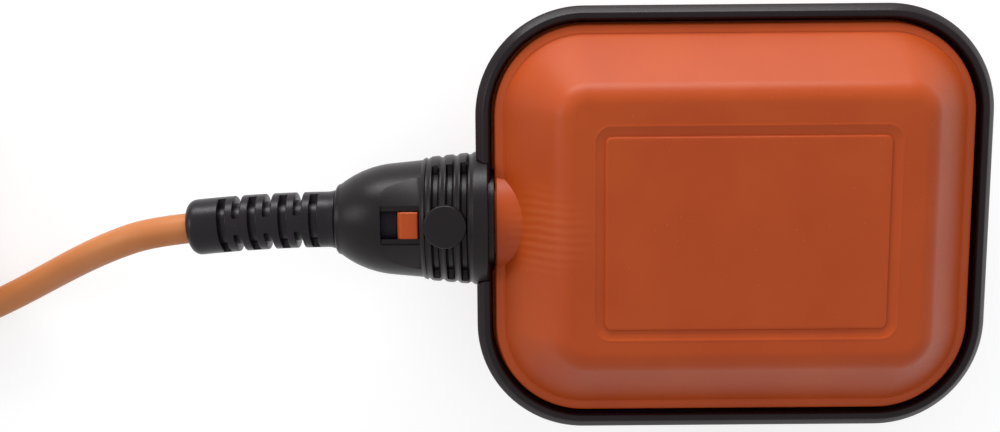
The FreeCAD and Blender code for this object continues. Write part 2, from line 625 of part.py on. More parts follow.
def gland_cap():
    """The ribbed skirt, dome and snap windows that lock the neck's halves together."""
    body = new_body("gland_cap")
    section = new_sketch(body, "XY_Plane")
    draw_outline(section, [
        (cap_root, size.cap_bore_radius),
        (cap_root, size.skirt_root_radius),
        (cap_skirt_end + size.rib_step, size.skirt_end_radius),
        (cap_skirt_end, size.dome_root_radius),
        (cap_skirt_end - size.dome_shoulder, size.dome_shoulder_radius, size.dome_curve, -1),
        (cap_tip, size.dome_tip_radius),
        (cap_tip, size.boot_neck_radius + size.boot_neck_play),
        (boot_seat, size.boot_neck_radius + size.boot_neck_play),
        (boot_seat, size.cap_seat_radius),
        (cap_shoulder, size.cap_seat_radius),
        (cap_shoulder, size.cap_bore_radius),
    ])
    turned = revolve(body, section)
    round_edges(body, turned, size.boot_edge_round,
                lambda edge: abs(edge.BoundBox.XMin - cap_tip.value) < 0.001
                and abs(edge.BoundBox.XMax - cap_tip.value) < 0.001
                and edge.BoundBox.YMax > size.dome_tip_radius.value - 0.001)
    slope = (size.skirt_root_radius - size.skirt_end_radius) / (size.skirt_length - size.rib_step)
    waists = new_sketch(body, "XY_Plane")
    for index in range(3):
        reach = size.slot_first + size.slot_pitch * index - size.wave_lead
        lift = size.wave_radius - size.wave_depth
        draw_circle(waists, cap_root - reach, size.skirt_root_radius - slope * reach + lift,
                    size.wave_radius)
    grooves = body.newObject("PartDesign::Groove", "gland_cap_waists")
    grooves.Profile = waists
    grooves.ReferenceAxis = (waists, ["H_Axis"])
    grooves.Angle = 360.0
    half_chord = Dim(math.sqrt(size.slot_floor.value ** 2 - size.slot_end_rise.value ** 2),
                     f"sqrt({size.slot_floor.text}^2 - {size.slot_end_rise.text}^2)")
    for index in range(3):
        start = cap_root - size.slot_first - size.slot_pitch * index - size.slot_width / 2
        for face in (1, -1):
            grip = new_sketch(body, "YZ_Plane", start)
            draw_outline(grip, [
                (-half_chord, size.slot_end_rise * face, size.slot_floor, face),
                (half_chord, size.slot_end_rise * face),
                (size.slot_reach, size.slot_end_rise * face),
                (size.slot_reach, size.slot_reach * face),
                (-size.slot_reach, size.slot_reach * face),
                (-size.slot_reach, size.slot_end_rise * face),
            ])
            cut(body, grip, size.slot_width)
    round_pad = new_sketch(body, "XY_Plane", size.pad_base)
    draw_circle(round_pad, cap_root - size.pad_from_root, ZERO, size.pad_radius)
    pad(body, round_pad, size.pad_thickness)
    window = new_sketch(body, "XY_Plane")
    draw_box(window, cap_skirt_end - size.window_length, -(size.window_width / 2),
             cap_skirt_end, size.window_width / 2)
    cut(body, window)
    for side in (-1, 1):
        for face in (-1, 1):
            flat = new_sketch(body, "YZ_Plane", cap_skirt_end - size.facet_length)
            draw_outline(flat, [
                (size.facet_near * side, size.facet_near_rise * face),
                (size.facet_far * side, size.facet_far_rise * face),
                ((size.facet_far + size.facet_clear) * side, (size.facet_far_rise + size.facet_clear) * face),
                ((size.facet_near + size.facet_clear) * side, (size.facet_near_rise + size.facet_clear) * face),
            ])
            cut(body, flat, size.facet_length)
    lift_body(body, size.half_thickness)
    return body


def plain_ring(name, low_x, length, outer, inner):
    """A ring about the cable's axis."""
    body = new_body(name)
    section = new_sketch(body, "XY_Plane")
    draw_box(section, low_x, inner, low_x + length, outer)
    revolve(body, section)
    lift_body(body, size.half_thickness)
    return body


def cable_grommet():
    """The rubber bush: a shank in the necks' bore, a head behind their ends and a nose in the dome."""
    body = new_body("cable_grommet")
    low_x = boot_seat + size.boot_flange_thickness + size.washer_thickness + size.stack_gap * 3
    shank = size.neck_bore_radius - size.grommet_play
    section = new_sketch(body, "XY_Plane")
    draw_outline(section, [
        (low_x, cable_hole),
        (low_x, shank),
        (cap_shoulder + size.stack_gap, shank),
        (cap_shoulder + size.stack_gap, size.grommet_head_radius),
        (neck_end - size.stack_gap, size.grommet_head_radius),
        (neck_end - size.stack_gap, shank),
        (low_x + size.grommet_length, shank),
        (low_x + size.grommet_length, cable_hole),
    ])
    revolve(body, section)
    lift_body(body, size.half_thickness)
    return body


def boot_place(reach):
    """Place and heading of the boot's axis, that far from the dome along its gentle arc."""
    sweep = 2 * size.boot_drift.value / size.boot_length.value
    radius = size.boot_length.value / sweep
    angle = reach / radius
    place = VECTOR(cap_tip.value - radius * math.sin(angle), radius * (math.cos(angle) - 1),
                   size.half_thickness.value)
    return place, VECTOR(-math.cos(angle), -math.sin(angle), 0)


def boot_spine(low, high):
    """The boot's axis between two reaches, as an arc."""
    middle = (low + high) / 2
    return Part.Wire([Part.Arc(boot_place(low)[0], boot_place(middle)[0], boot_place(high)[0]).toShape()])


def swept_disc(wire, radius):
    """A round solid along a wire that starts at its first point."""
    first = wire.Edges[0]
    start = first.valueAt(first.FirstParameter)
    heading = first.tangentAt(first.FirstParameter)
    circle = Part.Wire([Part.makeCircle(radius, start, heading)])
    return wire.makePipeShell([circle], True, False)


def boot_slot(reach, across_axis):
    """A pair of slots at one place on the boot, left bridged along the given axis."""
    place, heading = boot_place(reach)
    width = size.boot_slot_width.value
    outer = size.boot_radius.value + size.boot_slot_width.value
    start = place - heading * (width / 2)
    ring = Part.makeCylinder(outer, width, start, heading)
    ring = ring.cut(Part.makeCylinder(size.boot_slot_floor.value, width, start, heading))
    sideways = heading.cross(Z_AXIS) if across_axis == "Y" else Z_AXIS
    upright = heading.cross(sideways)
    bridge = size.boot_bridge.value
    corner = start - sideways * outer - upright * (bridge / 2)
    block = Part.makeBox(outer * 2, bridge, width)
    block.Placement = FreeCAD.Placement(corner, FreeCAD.Rotation(sideways, upright, heading, "ZXY"))
    return ring.cut(block)


def cable_boot():
    """The slotted rubber boot: sleeve on a gentle arc, neck through the dome and inner flange."""
    length = size.boot_length.value
    sleeve = swept_disc(boot_spine(size.stack_gap.value, length), size.boot_radius.value)
    tip_place, tip_heading = boot_place(length)
    tip_edges = [edge for edge in sleeve.Edges
                 if (edge.CenterOfMass - tip_place).Length < 0.01 and edge.Length > size.boot_radius.value]
    sleeve = sleeve.makeFillet(size.boot_edge_round.value, tip_edges)
    slot_count = int((length - size.boot_slot_first.value) // size.boot_slot_pitch.value)
    half_pitch = size.boot_slot_pitch.value / 2
    for index in range(2 * slot_count - 1):
        reach = size.boot_slot_first.value + half_pitch * index
        sleeve = sleeve.cut(boot_slot(reach, "Y" if index % 2 == 0 else "Z"))
    axis_z = size.half_thickness.value
    neck_start = VECTOR(cap_tip.value - size.stack_gap.value * 3, 0, axis_z)
    flange_start = VECTOR(boot_seat.value + size.stack_gap.value, 0, axis_z)
    flange_length = size.boot_flange_thickness.value
    neck = Part.makeCylinder(size.boot_neck_radius.value,
                             flange_start.x - neck_start.x + flange_length / 2, neck_start, X_AXIS)
    flange = Part.makeCylinder(size.boot_flange_radius.value, flange_length, flange_start, X_AXIS)
    solid = sleeve.fuse([neck, flange])
    bore_length = flange_start.x + flange_length * 2 - cap_tip.value
    bore_straight = Part.makeCylinder(cable_hole.value, bore_length, VECTOR(cap_tip.value, 0, axis_z), X_AXIS)
    bore_bent = swept_disc(boot_spine(0.0, length + size.boot_edge_round.value), cable_hole.value)
    return solid.cut([bore_straight, bore_bent]).removeSplitter()


def fixed_shape(name, shape):
    """A sub-part whose shape is made with plain geometry calls."""
    feature = doc.addObject("Part::Feature", name)
    feature.Label = name
    feature.Shape = shape
    return feature


def mechanism_carrier():
    """The moulded plate that holds the pivot, the microswitch and the cable saddle."""
    body = new_body("mechanism_carrier")
    middle = (size.plate_low_x + size.plate_high_x) / 2
    plate = new_sketch(body, "XY_Plane", size.boss_top)
    draw_rounded(plate, (size.plate_high_x - size.plate_low_x) / 2, size.plate_half_width,
                 size.plate_corner, middle)
    pad(body, plate, size.plate_thickness)
    root = plate_top - size.mould_sink

    def block(low_x, low_y, high_x, high_y, top):
        foot = new_sketch(body, "XY_Plane", root)
        draw_box(foot, low_x, low_y, high_x, high_y)
        pad(body, foot, top - root)

    saddle_low = size.saddle_x - size.saddle_half_length
    saddle_high = size.saddle_x + size.saddle_half_length
    block(saddle_low, -size.saddle_half_width, saddle_high, size.saddle_half_width,
          size.half_thickness - size.clamp_gap)
    for low_y, high_y in ((cheek_low, cheek_high), (-cheek_high, -cheek_low)):
        block(size.pivot_x - size.cheek_length / 2, low_y, size.pivot_x + size.cheek_length / 2, high_y,
              size.cheek_top)
    block(size.pivot_x - size.post_reach - size.post_length / 2, -(size.post_width / 2),
          size.pivot_x - size.post_reach + size.post_length / 2, size.post_width / 2,
          size.trough_base - size.rest_gap)
    rib_low = size.case_low_y + size.rib_gap
    rib_high = rib_low + size.rib_thickness
    for low_y, high_y in ((rib_low, rib_high), (-rib_high, -rib_low)):
        block(case_low_x + size.rib_inset, low_y, case_high_x - size.rib_inset, high_y,
              plate_top + size.rib_height)

    groove = new_sketch(body, "YZ_Plane", saddle_low - size.mould_sink)
    draw_circle(groove, ZERO, size.half_thickness, cable_hole)
    cut(body, groove, size.saddle_half_length * 2 + size.mould_sink * 2)
    pivot = new_sketch(body, "XZ_Plane")
    draw_circle(pivot, size.pivot_x, size.pivot_z, size.pin_radius + size.pin_hold)
    cut(body, pivot)
    switch_holes = new_sketch(body, "XZ_Plane")
    for hole_x in (case_low_x + size.hole_offset, case_high_x - size.hole_offset):
        draw_circle(switch_holes, hole_x, plate_top + size.hole_rise, size.switch_screw_hole)
    cut(body, switch_holes)
    openings = new_sketch(body, "XY_Plane", plate_top)
    draw_box(openings, case_low_x, -size.slot_half_width, case_high_x, size.slot_half_width)
    draw_box(openings, size.wire_hole_low_x, -size.wire_hole_half_width,
             size.wire_hole_high_x, size.wire_hole_half_width)
    for boss_x in (size.boss_near_x, size.boss_far_x):
        for boss_y in (-size.boss_y, size.boss_y):
            draw_circle(openings, boss_x, boss_y, size.screw_pass_radius)
    cut(body, openings, size.plate_thickness, along_normal=False)
    clamp_holes = new_sketch(body, "XY_Plane", size.half_thickness)
    for hole_y in (-size.clamp_screw_y, size.clamp_screw_y):
        draw_circle(clamp_holes, size.saddle_x, hole_y, size.screw_bore_radius)
    cut(body, clamp_holes, size.clamp_screw_length, along_normal=False)
    return body


def cable_clamp():
    """The bar that two screws press on the cable."""
    body = new_body("cable_clamp")
    base = size.half_thickness + size.clamp_gap
    bar = new_sketch(body, "XY_Plane", base)
    draw_box(bar, size.saddle_x - size.clamp_half_length, -size.saddle_half_width,
             size.saddle_x + size.clamp_half_length, size.saddle_half_width)
    pad(body, bar, size.clamp_rise - size.clamp_gap)
    groove = new_sketch(body, "YZ_Plane")
    draw_circle(groove, ZERO, size.half_thickness, cable_hole)
    cut(body, groove)
    holes = new_sketch(body, "XY_Plane", base)
    for hole_y in (-size.clamp_screw_y, size.clamp_screw_y):
        draw_circle(holes, size.saddle_x, hole_y, size.screw_pass_radius)
    cut(body, holes)
    return body


def rocker():
    """The tipping trough that the ball rolls in, with its pivot lug and actuating nub."""
    body = new_body("rocker")
    low_x = size.pivot_x - trough_half_length
    high_x = size.pivot_x + trough_half_length
    trough = new_sketch(body, "XY_Plane", size.trough_base)
    draw_box(trough, low_x, -trough_half_width, high_x, trough_half_width)
    pad(body, trough, trough_top - size.trough_base)
    inside = new_sketch(body, "XY_Plane", trough_top)
    draw_box(inside, low_x + size.trough_wall, -(trough_half_width - size.trough_wall),
             high_x - size.trough_wall, trough_half_width - size.trough_wall)
    cut(body, inside, trough_depth, along_normal=False)
    web = new_sketch(body, "XZ_Plane")
    draw_box(web, size.pivot_x - size.lug_radius, size.pivot_z,
             size.pivot_x + size.lug_radius, size.trough_base + size.mould_sink / 2)
    pad(body, web, size.lug_width, both_ways=True)
    lug = new_sketch(body, "XZ_Plane")
    draw_circle(lug, size.pivot_x, size.pivot_z, size.lug_radius)
    pad(body, lug, size.lug_width, both_ways=True)
    nub = new_sketch(body, "XZ_Plane")
    draw_box(nub, plunger_x - size.nub_half_length, size.trough_base - size.nub_drop,
             plunger_x + size.nub_half_length, size.trough_base + size.mould_sink / 2)
    pad(body, nub, size.nub_width, both_ways=True)
    bore = new_sketch(body, "XZ_Plane")
    draw_circle(bore, size.pivot_x, size.pivot_z, size.pin_radius + size.pin_play)
    cut(body, bore)
    return body


def rocker_lid():
    """The lid that keeps the ball in the trough."""
    body = new_body("rocker_lid")
    plate = new_sketch(body, "XY_Plane", trough_top)
    draw_box(plate, size.pivot_x - trough_half_length, -trough_half_width,
             size.pivot_x + trough_half_length, trough_half_width)
    pad(body, plate, size.lid_thickness)
    return body


def pivot_pin():
    """The steel pin that the rocker tips on, along Y."""
    pin = doc.addObject("Part::Cylinder", "pivot_pin")
    pin.Label = "pivot_pin"
    pin.Placement = FreeCAD.Placement(VECTOR(0, 0, 0), FreeCAD.Rotation(X_AXIS, -HALF_TURN / 2))
    pin.setExpression("Radius", size.pin_radius.text)
    pin.setExpression("Height", pin_length.text)
    pin.setExpression("Placement.Base.x", size.pivot_x.text)
    pin.setExpression("Placement.Base.y", (-(pin_length / 2)).text)
    pin.setExpression("Placement.Base.z", size.pivot_z.text)
    return pin


def steel_ball():
    """The ball, at the cable end of its trough."""
    ball = doc.addObject("Part::Sphere", "steel_ball")
    ball.Label = "steel_ball"
    start = size.pivot_x - trough_half_length + size.trough_wall + ball_radius + size.ball_end_play
    ball.setExpression("Radius", ball_radius.text)
    ball.setExpression("Placement.Base.x", start.text)
    ball.setExpression("Placement.Base.z", (trough_floor + ball_radius + size.ball_play).text)
    return ball


def blade_x(index):
    """Place of a terminal blade along the microswitch."""
    pitch = (size.case_length - size.blade_inset * 2) / 2
    return case_low_x + size.blade_inset + pitch * index


def switch_case():
    """The microswitch's case, open on its +Y side."""
    body = new_body("switch_case")
    block = new_sketch(body, "XY_Plane", plate_top)
    draw_box(block, case_low_x, -size.case_low_y, case_high_x, size.case_high_y)
    pad(body, block, size.case_height)
    cavity = new_sketch(body, "XZ_Plane", -size.case_high_y)
    draw_box(cavity, case_low_x + size.cavity_inset, plate_top + size.cavity_base,
             case_high_x - size.cavity_inset, case_top - size.case_wall)
    cut(body, cavity, size.case_low_y + size.case_high_y - size.case_wall)
    holes = new_sketch(body, "XZ_Plane")
    for hole_x in (case_low_x + size.hole_offset, case_high_x - size.hole_offset):
        draw_circle(holes, hole_x, plate_top + size.hole_rise, size.hole_radius)
    cut(body, holes)
    slot = new_sketch(body, "XY_Plane", case_top)
    half_length = size.plunger_half_length + size.plunger_play
    half_width = size.plunger_half_width + size.plunger_play
    draw_box(slot, plunger_x - half_length, -half_width, plunger_x + half_length, half_width)
    cut(body, slot, size.case_wall, along_normal=False)
    seats = new_sketch(body, "XY_Plane", plate_top)
    seat_half_width = size.blade_half_width + size.blade_play
    seat_half_thickness = size.blade_thickness / 2 + size.blade_play
    for index in range(3):
        draw_box(seats, blade_x(index) - seat_half_width, -seat_half_thickness,
                 blade_x(index) + seat_half_width, seat_half_thickness)
    cut(body, seats, size.blade_seat)
    return body


def switch_cover():
    """The flat cover on the microswitch's +Y side."""
    body = new_body("switch_cover")
    plate = new_sketch(body, "XY_Plane", plate_top)
    low_y = size.case_high_y
    draw_box(plate, case_low_x, low_y, case_high_x, low_y + size.cover_thickness)
    pad(body, plate, size.case_height)
    holes = new_sketch(body, "XZ_Plane")
    for hole_x in (case_low_x + size.hole_offset, case_high_x - size.hole_offset):
        draw_circle(holes, hole_x, plate_top + size.hole_rise, size.hole_radius)
    cut(body, holes)
    return body


def switch_plunger():
    """The plunger, with the foot that keeps it in the case."""
    body = new_body("switch_plunger")
    foot_top = case_top - size.case_wall - size.plunger_play
    foot_base = foot_top - size.plunger_foot_thickness
    stem = new_sketch(body, "XY_Plane", foot_base - size.plunger_tail)
    draw_box(stem, plunger_x - size.plunger_half_length, -size.plunger_half_width,
             plunger_x + size.plunger_half_length, size.plunger_half_width)
    pad(body, stem, plunger_top - foot_base + size.plunger_tail)
    foot = new_sketch(body, "XY_Plane", foot_base)
    draw_box(foot, plunger_x - size.plunger_foot_half_length, -size.plunger_foot_half_width,
             plunger_x + size.plunger_foot_half_length, size.plunger_foot_half_width)
    pad(body, foot, size.plunger_foot_thickness)
    return body


def terminal(name, index):
    """A flat terminal blade with a wire hole."""
    body = new_body(name)
    middle = blade_x(index)
    top = plate_top + size.blade_seat - size.blade_play
    blade = new_sketch(body, "XZ_Plane")
    draw_box(blade, middle - size.blade_half_width, size.blade_tip, middle + size.blade_half_width, top)
    draw_circle(blade, middle, size.blade_tip + size.blade_half_width, size.blade_hole_radius)
    pad(body, blade, size.blade_thickness, both_ways=True)
    return body


def screw(place, heading, thread_radius, length, head_radius, head_height):
    """A slotted pan-head screw: its head's underside at place, its thread along heading."""
    thread = Part.makeCylinder(thread_radius, length + head_height / 2, place - heading * (head_height / 2),
                               heading)
    head = Part.makeCylinder(head_radius, head_height, place, -heading)
    rim = [edge for edge in head.Edges if (edge.CenterOfMass - place + heading * head_height).Length < 0.01]
    head = head.makeFillet(head_height * 0.6, rim)
    sideways = VECTOR(heading.y, heading.z, heading.x)
    upright = heading.cross(sideways)
    slot = Part.makeBox(head_radius * 2, size.screw_slot_width.value, size.screw_slot_depth.value)
    corner = (place - heading * head_height - sideways * head_radius
              - upright * (size.screw_slot_width.value / 2))
    slot.Placement = FreeCAD.Placement(corner, FreeCAD.Rotation(sideways, upright, heading, "ZXY"))
    return head.fuse(thread).removeSplitter().cut(slot)


def screw_group(name, places, heading, thread, length, head, head_height):
    """Identical screws as one sub-part of separate solids."""
    solids = [screw(place, heading, thread.value, length.value, head.value, head_height.value)
              for place in places]
    return fixed_shape(name, Part.makeCompound(solids))


def carrier_screws():
    """Four screws that hold the carrier on the back shell's bosses."""
    places = [VECTOR(boss_x.value, boss_y, plate_top.value)
              for boss_x in (size.boss_near_x, size.boss_far_x)
              for boss_y in (-size.boss_y.value, size.boss_y.value)]
    return screw_group("carrier_screws", places, -Z_AXIS, size.screw_radius, size.carrier_screw_length,
                       size.screw_head_radius, size.screw_head_height)


def clamp_screws():
    """Two screws that press the clamp on the cable."""
    top = (size.half_thickness + size.clamp_rise).value
    places = [VECTOR(size.saddle_x.value, side * size.clamp_screw_y.value, top) for side in (-1, 1)]
    return screw_group("clamp_screws", places, -Z_AXIS, size.screw_radius, size.clamp_screw_length,
                       size.screw_head_radius, size.screw_head_height)


def switch_screws():
    """Two screws across the microswitch, from rib to rib."""
    rib_face = (size.case_low_y + size.rib_gap + size.rib_thickness).value
    height = (plate_top + size.hole_rise).value
    places = [VECTOR(hole_x.value, rib_face, height)
              for hole_x in (case_low_x + size.hole_offset, case_high_x - size.hole_offset)]
    length = Dim(2 * rib_face, "")
    return screw_group("switch_screws", places, -Y_AXIS, size.switch_screw_radius, length,
                       size.switch_screw_head, size.switch_screw_head_height)


def route_wire(points):
    """Straight runs between the points, joined at each inner point by the largest tangent arc
    that 0.45 of the shorter run allows. Returns the wire and the arcs' radii.
    """
    edges = []
    radii = []
    last = points[0]
    for before, corner, after in zip(points, points[1:], points[2:]):
        arriving = (corner - before).normalize()
        leaving = (after - corner).normalize()
        run = min((corner - before).Length, (after - corner).Length)
        half_turn = arriving.getAngle(leaving) / 2
        radius = ARC_SHARE * run / math.tan(half_turn)
        start = corner - arriving * (ARC_SHARE * run)
        end = corner + leaving * (ARC_SHARE * run)
        inward = (leaving - arriving).normalize()
        centre = corner + inward * (radius / math.cos(half_turn))
        middle = centre - inward * radius
        edges.append(LINE(last, start).toShape())
        edges.append(Part.Arc(start, middle, end).toShape())
        radii.append(radius)
        last = end
    edges.append(LINE(last, points[-1]).toShape())
    return Part.Wire(edges), radii


def tube(name, points, radius):
    """A round tube along a route, with its volume compared with its section times its length."""
    wire, radii = route_wire(points)
    solid = swept_disc(wire, radius)
    expected = math.pi * radius ** 2 * wire.Length
    print(f"{name}: {wire.Length:.1f} mm, arcs {min(radii):.1f} to {max(radii):.1f} mm, "
          f"volume {solid.Volume / expected:.4f} of section times length")
    return fixed_shape(name, solid)


def cable_in_gland():
    """The cable from the end of its sheath inside the float to the boot's free end."""
    axis_z = size.half_thickness.value
    start = VECTOR(size.sheath_end_x.value, 0, axis_z)
    joint = VECTOR(cap_tip.value, 0, axis_z)
    arc = boot_spine(0.0, size.boot_length.value)
    wire = Part.Wire([LINE(start, joint).toShape()] + arc.Edges)
    return fixed_shape("cable_in_gland", swept_disc(wire, size.cable_radius.value))


def free_cable():
    """The cable from the boot to the coil's outer turn, which it meets along its tangent."""
    tip, _ = boot_place(size.boot_length.value)
    outer_turn = size.coil_turn_radius.value + 2 * size.cable_radius.value
    bearing = math.radians(size.coil_entry_bearing.value)
    entry = VECTOR(size.coil_x.value + outer_turn * math.cos(bearing),
                   size.coil_y.value + outer_turn * math.sin(bearing), size.cable_radius.value)
    print(f"coil entry {entry.x:.2f} {entry.y:.2f}")
    points = [tip] + [VECTOR(*place) for place in CABLE_ROUTE] + [entry]
    return tube("cable", points, size.cable_radius.value)


def cable_coil():
    """The put-away coil as one ring: two full layers of three turns, then two turns on top and
    the start of a third, from which the wires stand out.
    """
    body = new_body("cable_coil")
    width = size.cable_radius * 2
    inner = size.coil_turn_radius - width * 1.5
    outer = size.coil_turn_radius + width * 1.5
    section = new_sketch(body, "XZ_Plane")
    draw_outline(section, [(inner, ZERO), (outer, ZERO), (outer, width * 3), (inner + width, width * 3),
                           (inner + width, width * 2), (inner, width * 2)])
    revolve(body, section, "V_Axis")
    last_turn = new_sketch(body, "XZ_Plane")
    draw_box(last_turn, inner, width * 2, inner + width, width * 3)
    stub = revolve(body, last_turn, "V_Axis")
    stub.Angle = -TAIL_BEARINGS[0]
    stub.Reversed = True
    body.setExpression("Placement.Base.x", size.coil_x.text)
    body.setExpression("Placement.Base.y", size.coil_y.text)
    return body


def wire_tails():
    """The three wires that stand out of the cable's far end, with their bare copper."""
    core = size.core_radius.value
    strands = []
    for name, places in TAIL_PLACES.items():
        points = []
        for bearing, (reach, height) in zip(TAIL_BEARINGS, places):
            angle = math.radians(bearing)
            points.append(VECTOR(size.coil_x.value + reach * math.cos(angle),
                                 size.coil_y.value + reach * math.sin(angle), height))
        tube(name, points, core)
        heading = (points[-1] - points[-2]).normalize()
        strands.append(Part.makeCylinder(size.strand_radius.value, size.strand_length.value,
                                         points[-1], heading))
    fixed_shape("copper_ends", Part.makeCompound(strands))
    return list(TAIL_PLACES) + ["copper_ends"]


def inner_wires():
    """The three wires inside the float, each ending beside its terminal blade."""
    core = size.core_radius.value
    hole_z = (size.blade_tip + size.blade_half_width).value
    beside = size.blade_thickness.value / 2 + core + 0.05
    blue_end = VECTOR((blade_x(0) - size.blade_half_width).value - 0.05, 0, hole_z)
    tube("blue_wire", [VECTOR(*place) for place in MIDDLE_WIRE] + [blue_end], core)
    for name, index, side in (("brown_wire", 1, 1), ("black_wire", 2, -1)):
        points = [VECTOR(along, across * side, up) for along, across, up in SIDE_WIRE]
        blade = blade_x(index).value
        points.append(VECTOR(blade - 9.0, 2.5 * side, hole_z))
        points.append(VECTOR(blade - 3.5, beside * side, hole_z))
        points.append(VECTOR(blade + 1.2, (beside + 0.02) * side, hole_z))
        tube(name, points, core)
    return ["blue_wire", "brown_wire", "black_wire"]


def build():
    """Builds every sub-part and returns them by name."""
    pieces = [
        seal_frame(),
        shell("front_shell", True),
        shell("back_shell", False),
        gland_cap(),
        fixed_shape("cable_boot", cable_boot()),
        plain_ring("thrust_washer", boot_seat + size.boot_flange_thickness + size.stack_gap * 2,
                   size.washer_thickness, size.washer_radius, size.washer_bore_radius),
        cable_grommet(),
        mechanism_carrier(),
        carrier_screws(),
        cable_clamp(),
        clamp_screws(),
        pivot_pin(),
        rocker(),
        rocker_lid(),
        steel_ball(),
        switch_case(),
        switch_cover(),
        switch_plunger(),
        switch_screws(),
        terminal("common_terminal", 0),
        terminal("open_terminal", 1),
        terminal("closed_terminal", 2),
        cable_in_gland(),
        free_cable(),
        cable_coil(),
    ]
    names = [piece.Name for piece in pieces] + inner_wires() + wire_tails()
    doc.recompute()
    return names


def check_and_write(names):
    """Stops on a failed object or a bad shape, then writes one file per sub-part."""
    for item in doc.Objects:
        if "Invalid" in item.State or "Error" in item.State:
            raise RuntimeError(f"{item.Name} failed: {item.State}")
    for name in names:
        shape = doc.getObject(name).Shape
        if shape.isNull() or not shape.isValid() or shape.Volume <= 0:
            raise RuntimeError(f"{name} has a bad shape")
    os.makedirs("parts", exist_ok=True)
    for name in names:
        shape = doc.getObject(name).Shape
        shape.exportStep(f"parts/{name}.step")
        box = shape.BoundBox
        print(f"{name:20s} solids {len(shape.Solids)} volume {shape.Volume:9.1f} "
              f"x {box.XMin:7.1f} {box.XMax:7.1f} y {box.YMin:6.1f} {box.YMax:6.1f} "
              f"z {box.ZMin:5.1f} {box.ZMax:5.1f}")


check_and_write(build())
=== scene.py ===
"""Cable float switch, dressed for a photograph: moulded float, gland, boot and cable.

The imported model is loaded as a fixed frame. The pieces that the camera sees are made again
here as finely divided surfaces, and the pieces inside keep their shape and get a finish.
Shapes are worked out in millimetres, and put_in_scene turns them into metres.
"""
import logging
import math
from dataclasses import dataclass, field
from enum import Enum
from typing import Iterable, Sequence

import bmesh
import bpy
import numpy as np
import numpy.typing as npt
from mathutils import Matrix, Vector


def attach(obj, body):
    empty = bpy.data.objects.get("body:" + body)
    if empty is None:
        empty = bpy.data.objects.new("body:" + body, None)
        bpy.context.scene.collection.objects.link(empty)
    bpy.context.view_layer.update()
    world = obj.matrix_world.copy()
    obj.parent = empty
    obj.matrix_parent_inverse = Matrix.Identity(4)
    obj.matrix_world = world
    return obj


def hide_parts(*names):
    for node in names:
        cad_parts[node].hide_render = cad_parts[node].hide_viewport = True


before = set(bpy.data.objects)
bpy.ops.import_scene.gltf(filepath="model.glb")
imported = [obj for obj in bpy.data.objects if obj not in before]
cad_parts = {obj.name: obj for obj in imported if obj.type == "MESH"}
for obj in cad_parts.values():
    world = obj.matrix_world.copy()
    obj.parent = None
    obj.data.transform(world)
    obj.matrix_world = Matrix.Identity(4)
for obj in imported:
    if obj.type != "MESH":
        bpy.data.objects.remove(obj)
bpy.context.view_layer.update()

Array = npt.NDArray[np.float64]
Pair = tuple[float, float]
Triple = tuple[float, float, float]
Piece = bpy.types.Object
Material = bpy.types.Material
Tree = bpy.types.NodeTree
Node = bpy.types.Node
Socket = bpy.types.NodeSocket

MM = 0.001
AXIS_Z = 20.0
SIDE_STEPS = 10
MERGE = 2e-6
NOISE_SPAN = (0.3, 0.7)
ROOT_BODY = "float"
LOG = logging.getLogger("float_switch")


class Join(Enum):
    """How a second closed surface is combined with a piece."""

    ADD = "UNION"
    CUT = "DIFFERENCE"


class Side(Enum):
    """Which half of the float a shape is on, as the direction in which it bulges."""

    FRONT = 1
    BACK = -1


# ---------------------------------------------------------------- surfaces


@dataclass
class Surface:
    """A closed surface in millimetres: rings of points, joined by four-cornered faces.

    Attributes:
        grid: the points, by ring and by place on the ring.
        closed_ends: True joins the last ring to the first, False closes each end with a face.
    """

    grid: Array
    closed_ends: bool = False

    def faces(self) -> list[list[int]]:
        """Corners of each face, where point j of ring k has the number k * around + j.

        Returns:
            The corners: j and j + 1 of two neighbouring rings, and a whole ring at an end.
        """
        rings, around = self.grid.shape[:2]
        last = rings if self.closed_ends else rings - 1
        ring, step = np.meshgrid(np.arange(last), np.arange(around), indexing="ij")
        beyond, following = (ring + 1) % rings, (step + 1) % around
        quads = np.stack([ring * around + step, ring * around + following,
                          beyond * around + following, beyond * around + step], axis=-1)
        faces = quads.reshape(-1, 4).tolist()
        if not self.closed_ends:
            faces.append(list(range(around))[::-1])
            faces.append(list(range((rings - 1) * around, rings * around)))
        return faces


def full_turn(steps: int) -> Array:
    """Angles in radians that divide a full turn evenly, without its end."""
    return np.linspace(0, 2 * math.pi, steps, endpoint=False)


def ease(share: Array) -> Array:
    """Share that is held within 0 and 1 and leaves and reaches them gently."""
    share = np.clip(share, 0, 1)
    return share * share * (3 - 2 * share)


def rounded_outline(corner_steps: int) -> tuple[Array, Array]:
    """Shares that place points round any rounded rectangle.

    A point lies at share * (half size - radius) + heading * radius. On a corner the share
    stays at that corner and the heading turns; on a side the heading stays and the share runs.

    Args:
        corner_steps: steps on each quarter circle.

    Returns:
        The shares and the headings, one pair of numbers for each point.
    """
    shares: list[Array] = []
    headings: list[Array] = []
    corners = np.array([(1, 1), (-1, 1), (-1, -1), (1, -1)], float)
    for index in range(4):
        turn = np.linspace(0, math.pi / 2, corner_steps + 1) + index * math.pi / 2
        shares.append(np.repeat(corners[index][None], corner_steps + 1, axis=0))
        headings.append(np.stack([np.cos(turn), np.sin(turn)], axis=-1))
        run = np.linspace(0, 1, SIDE_STEPS + 1)[1:-1, None]
        shares.append(corners[index] * (1 - run) + corners[(index + 1) % 4] * run)
        headings.append(np.repeat(headings[-1][-1][None], SIDE_STEPS - 1, axis=0))
    return np.concatenate(shares), np.concatenate(headings)


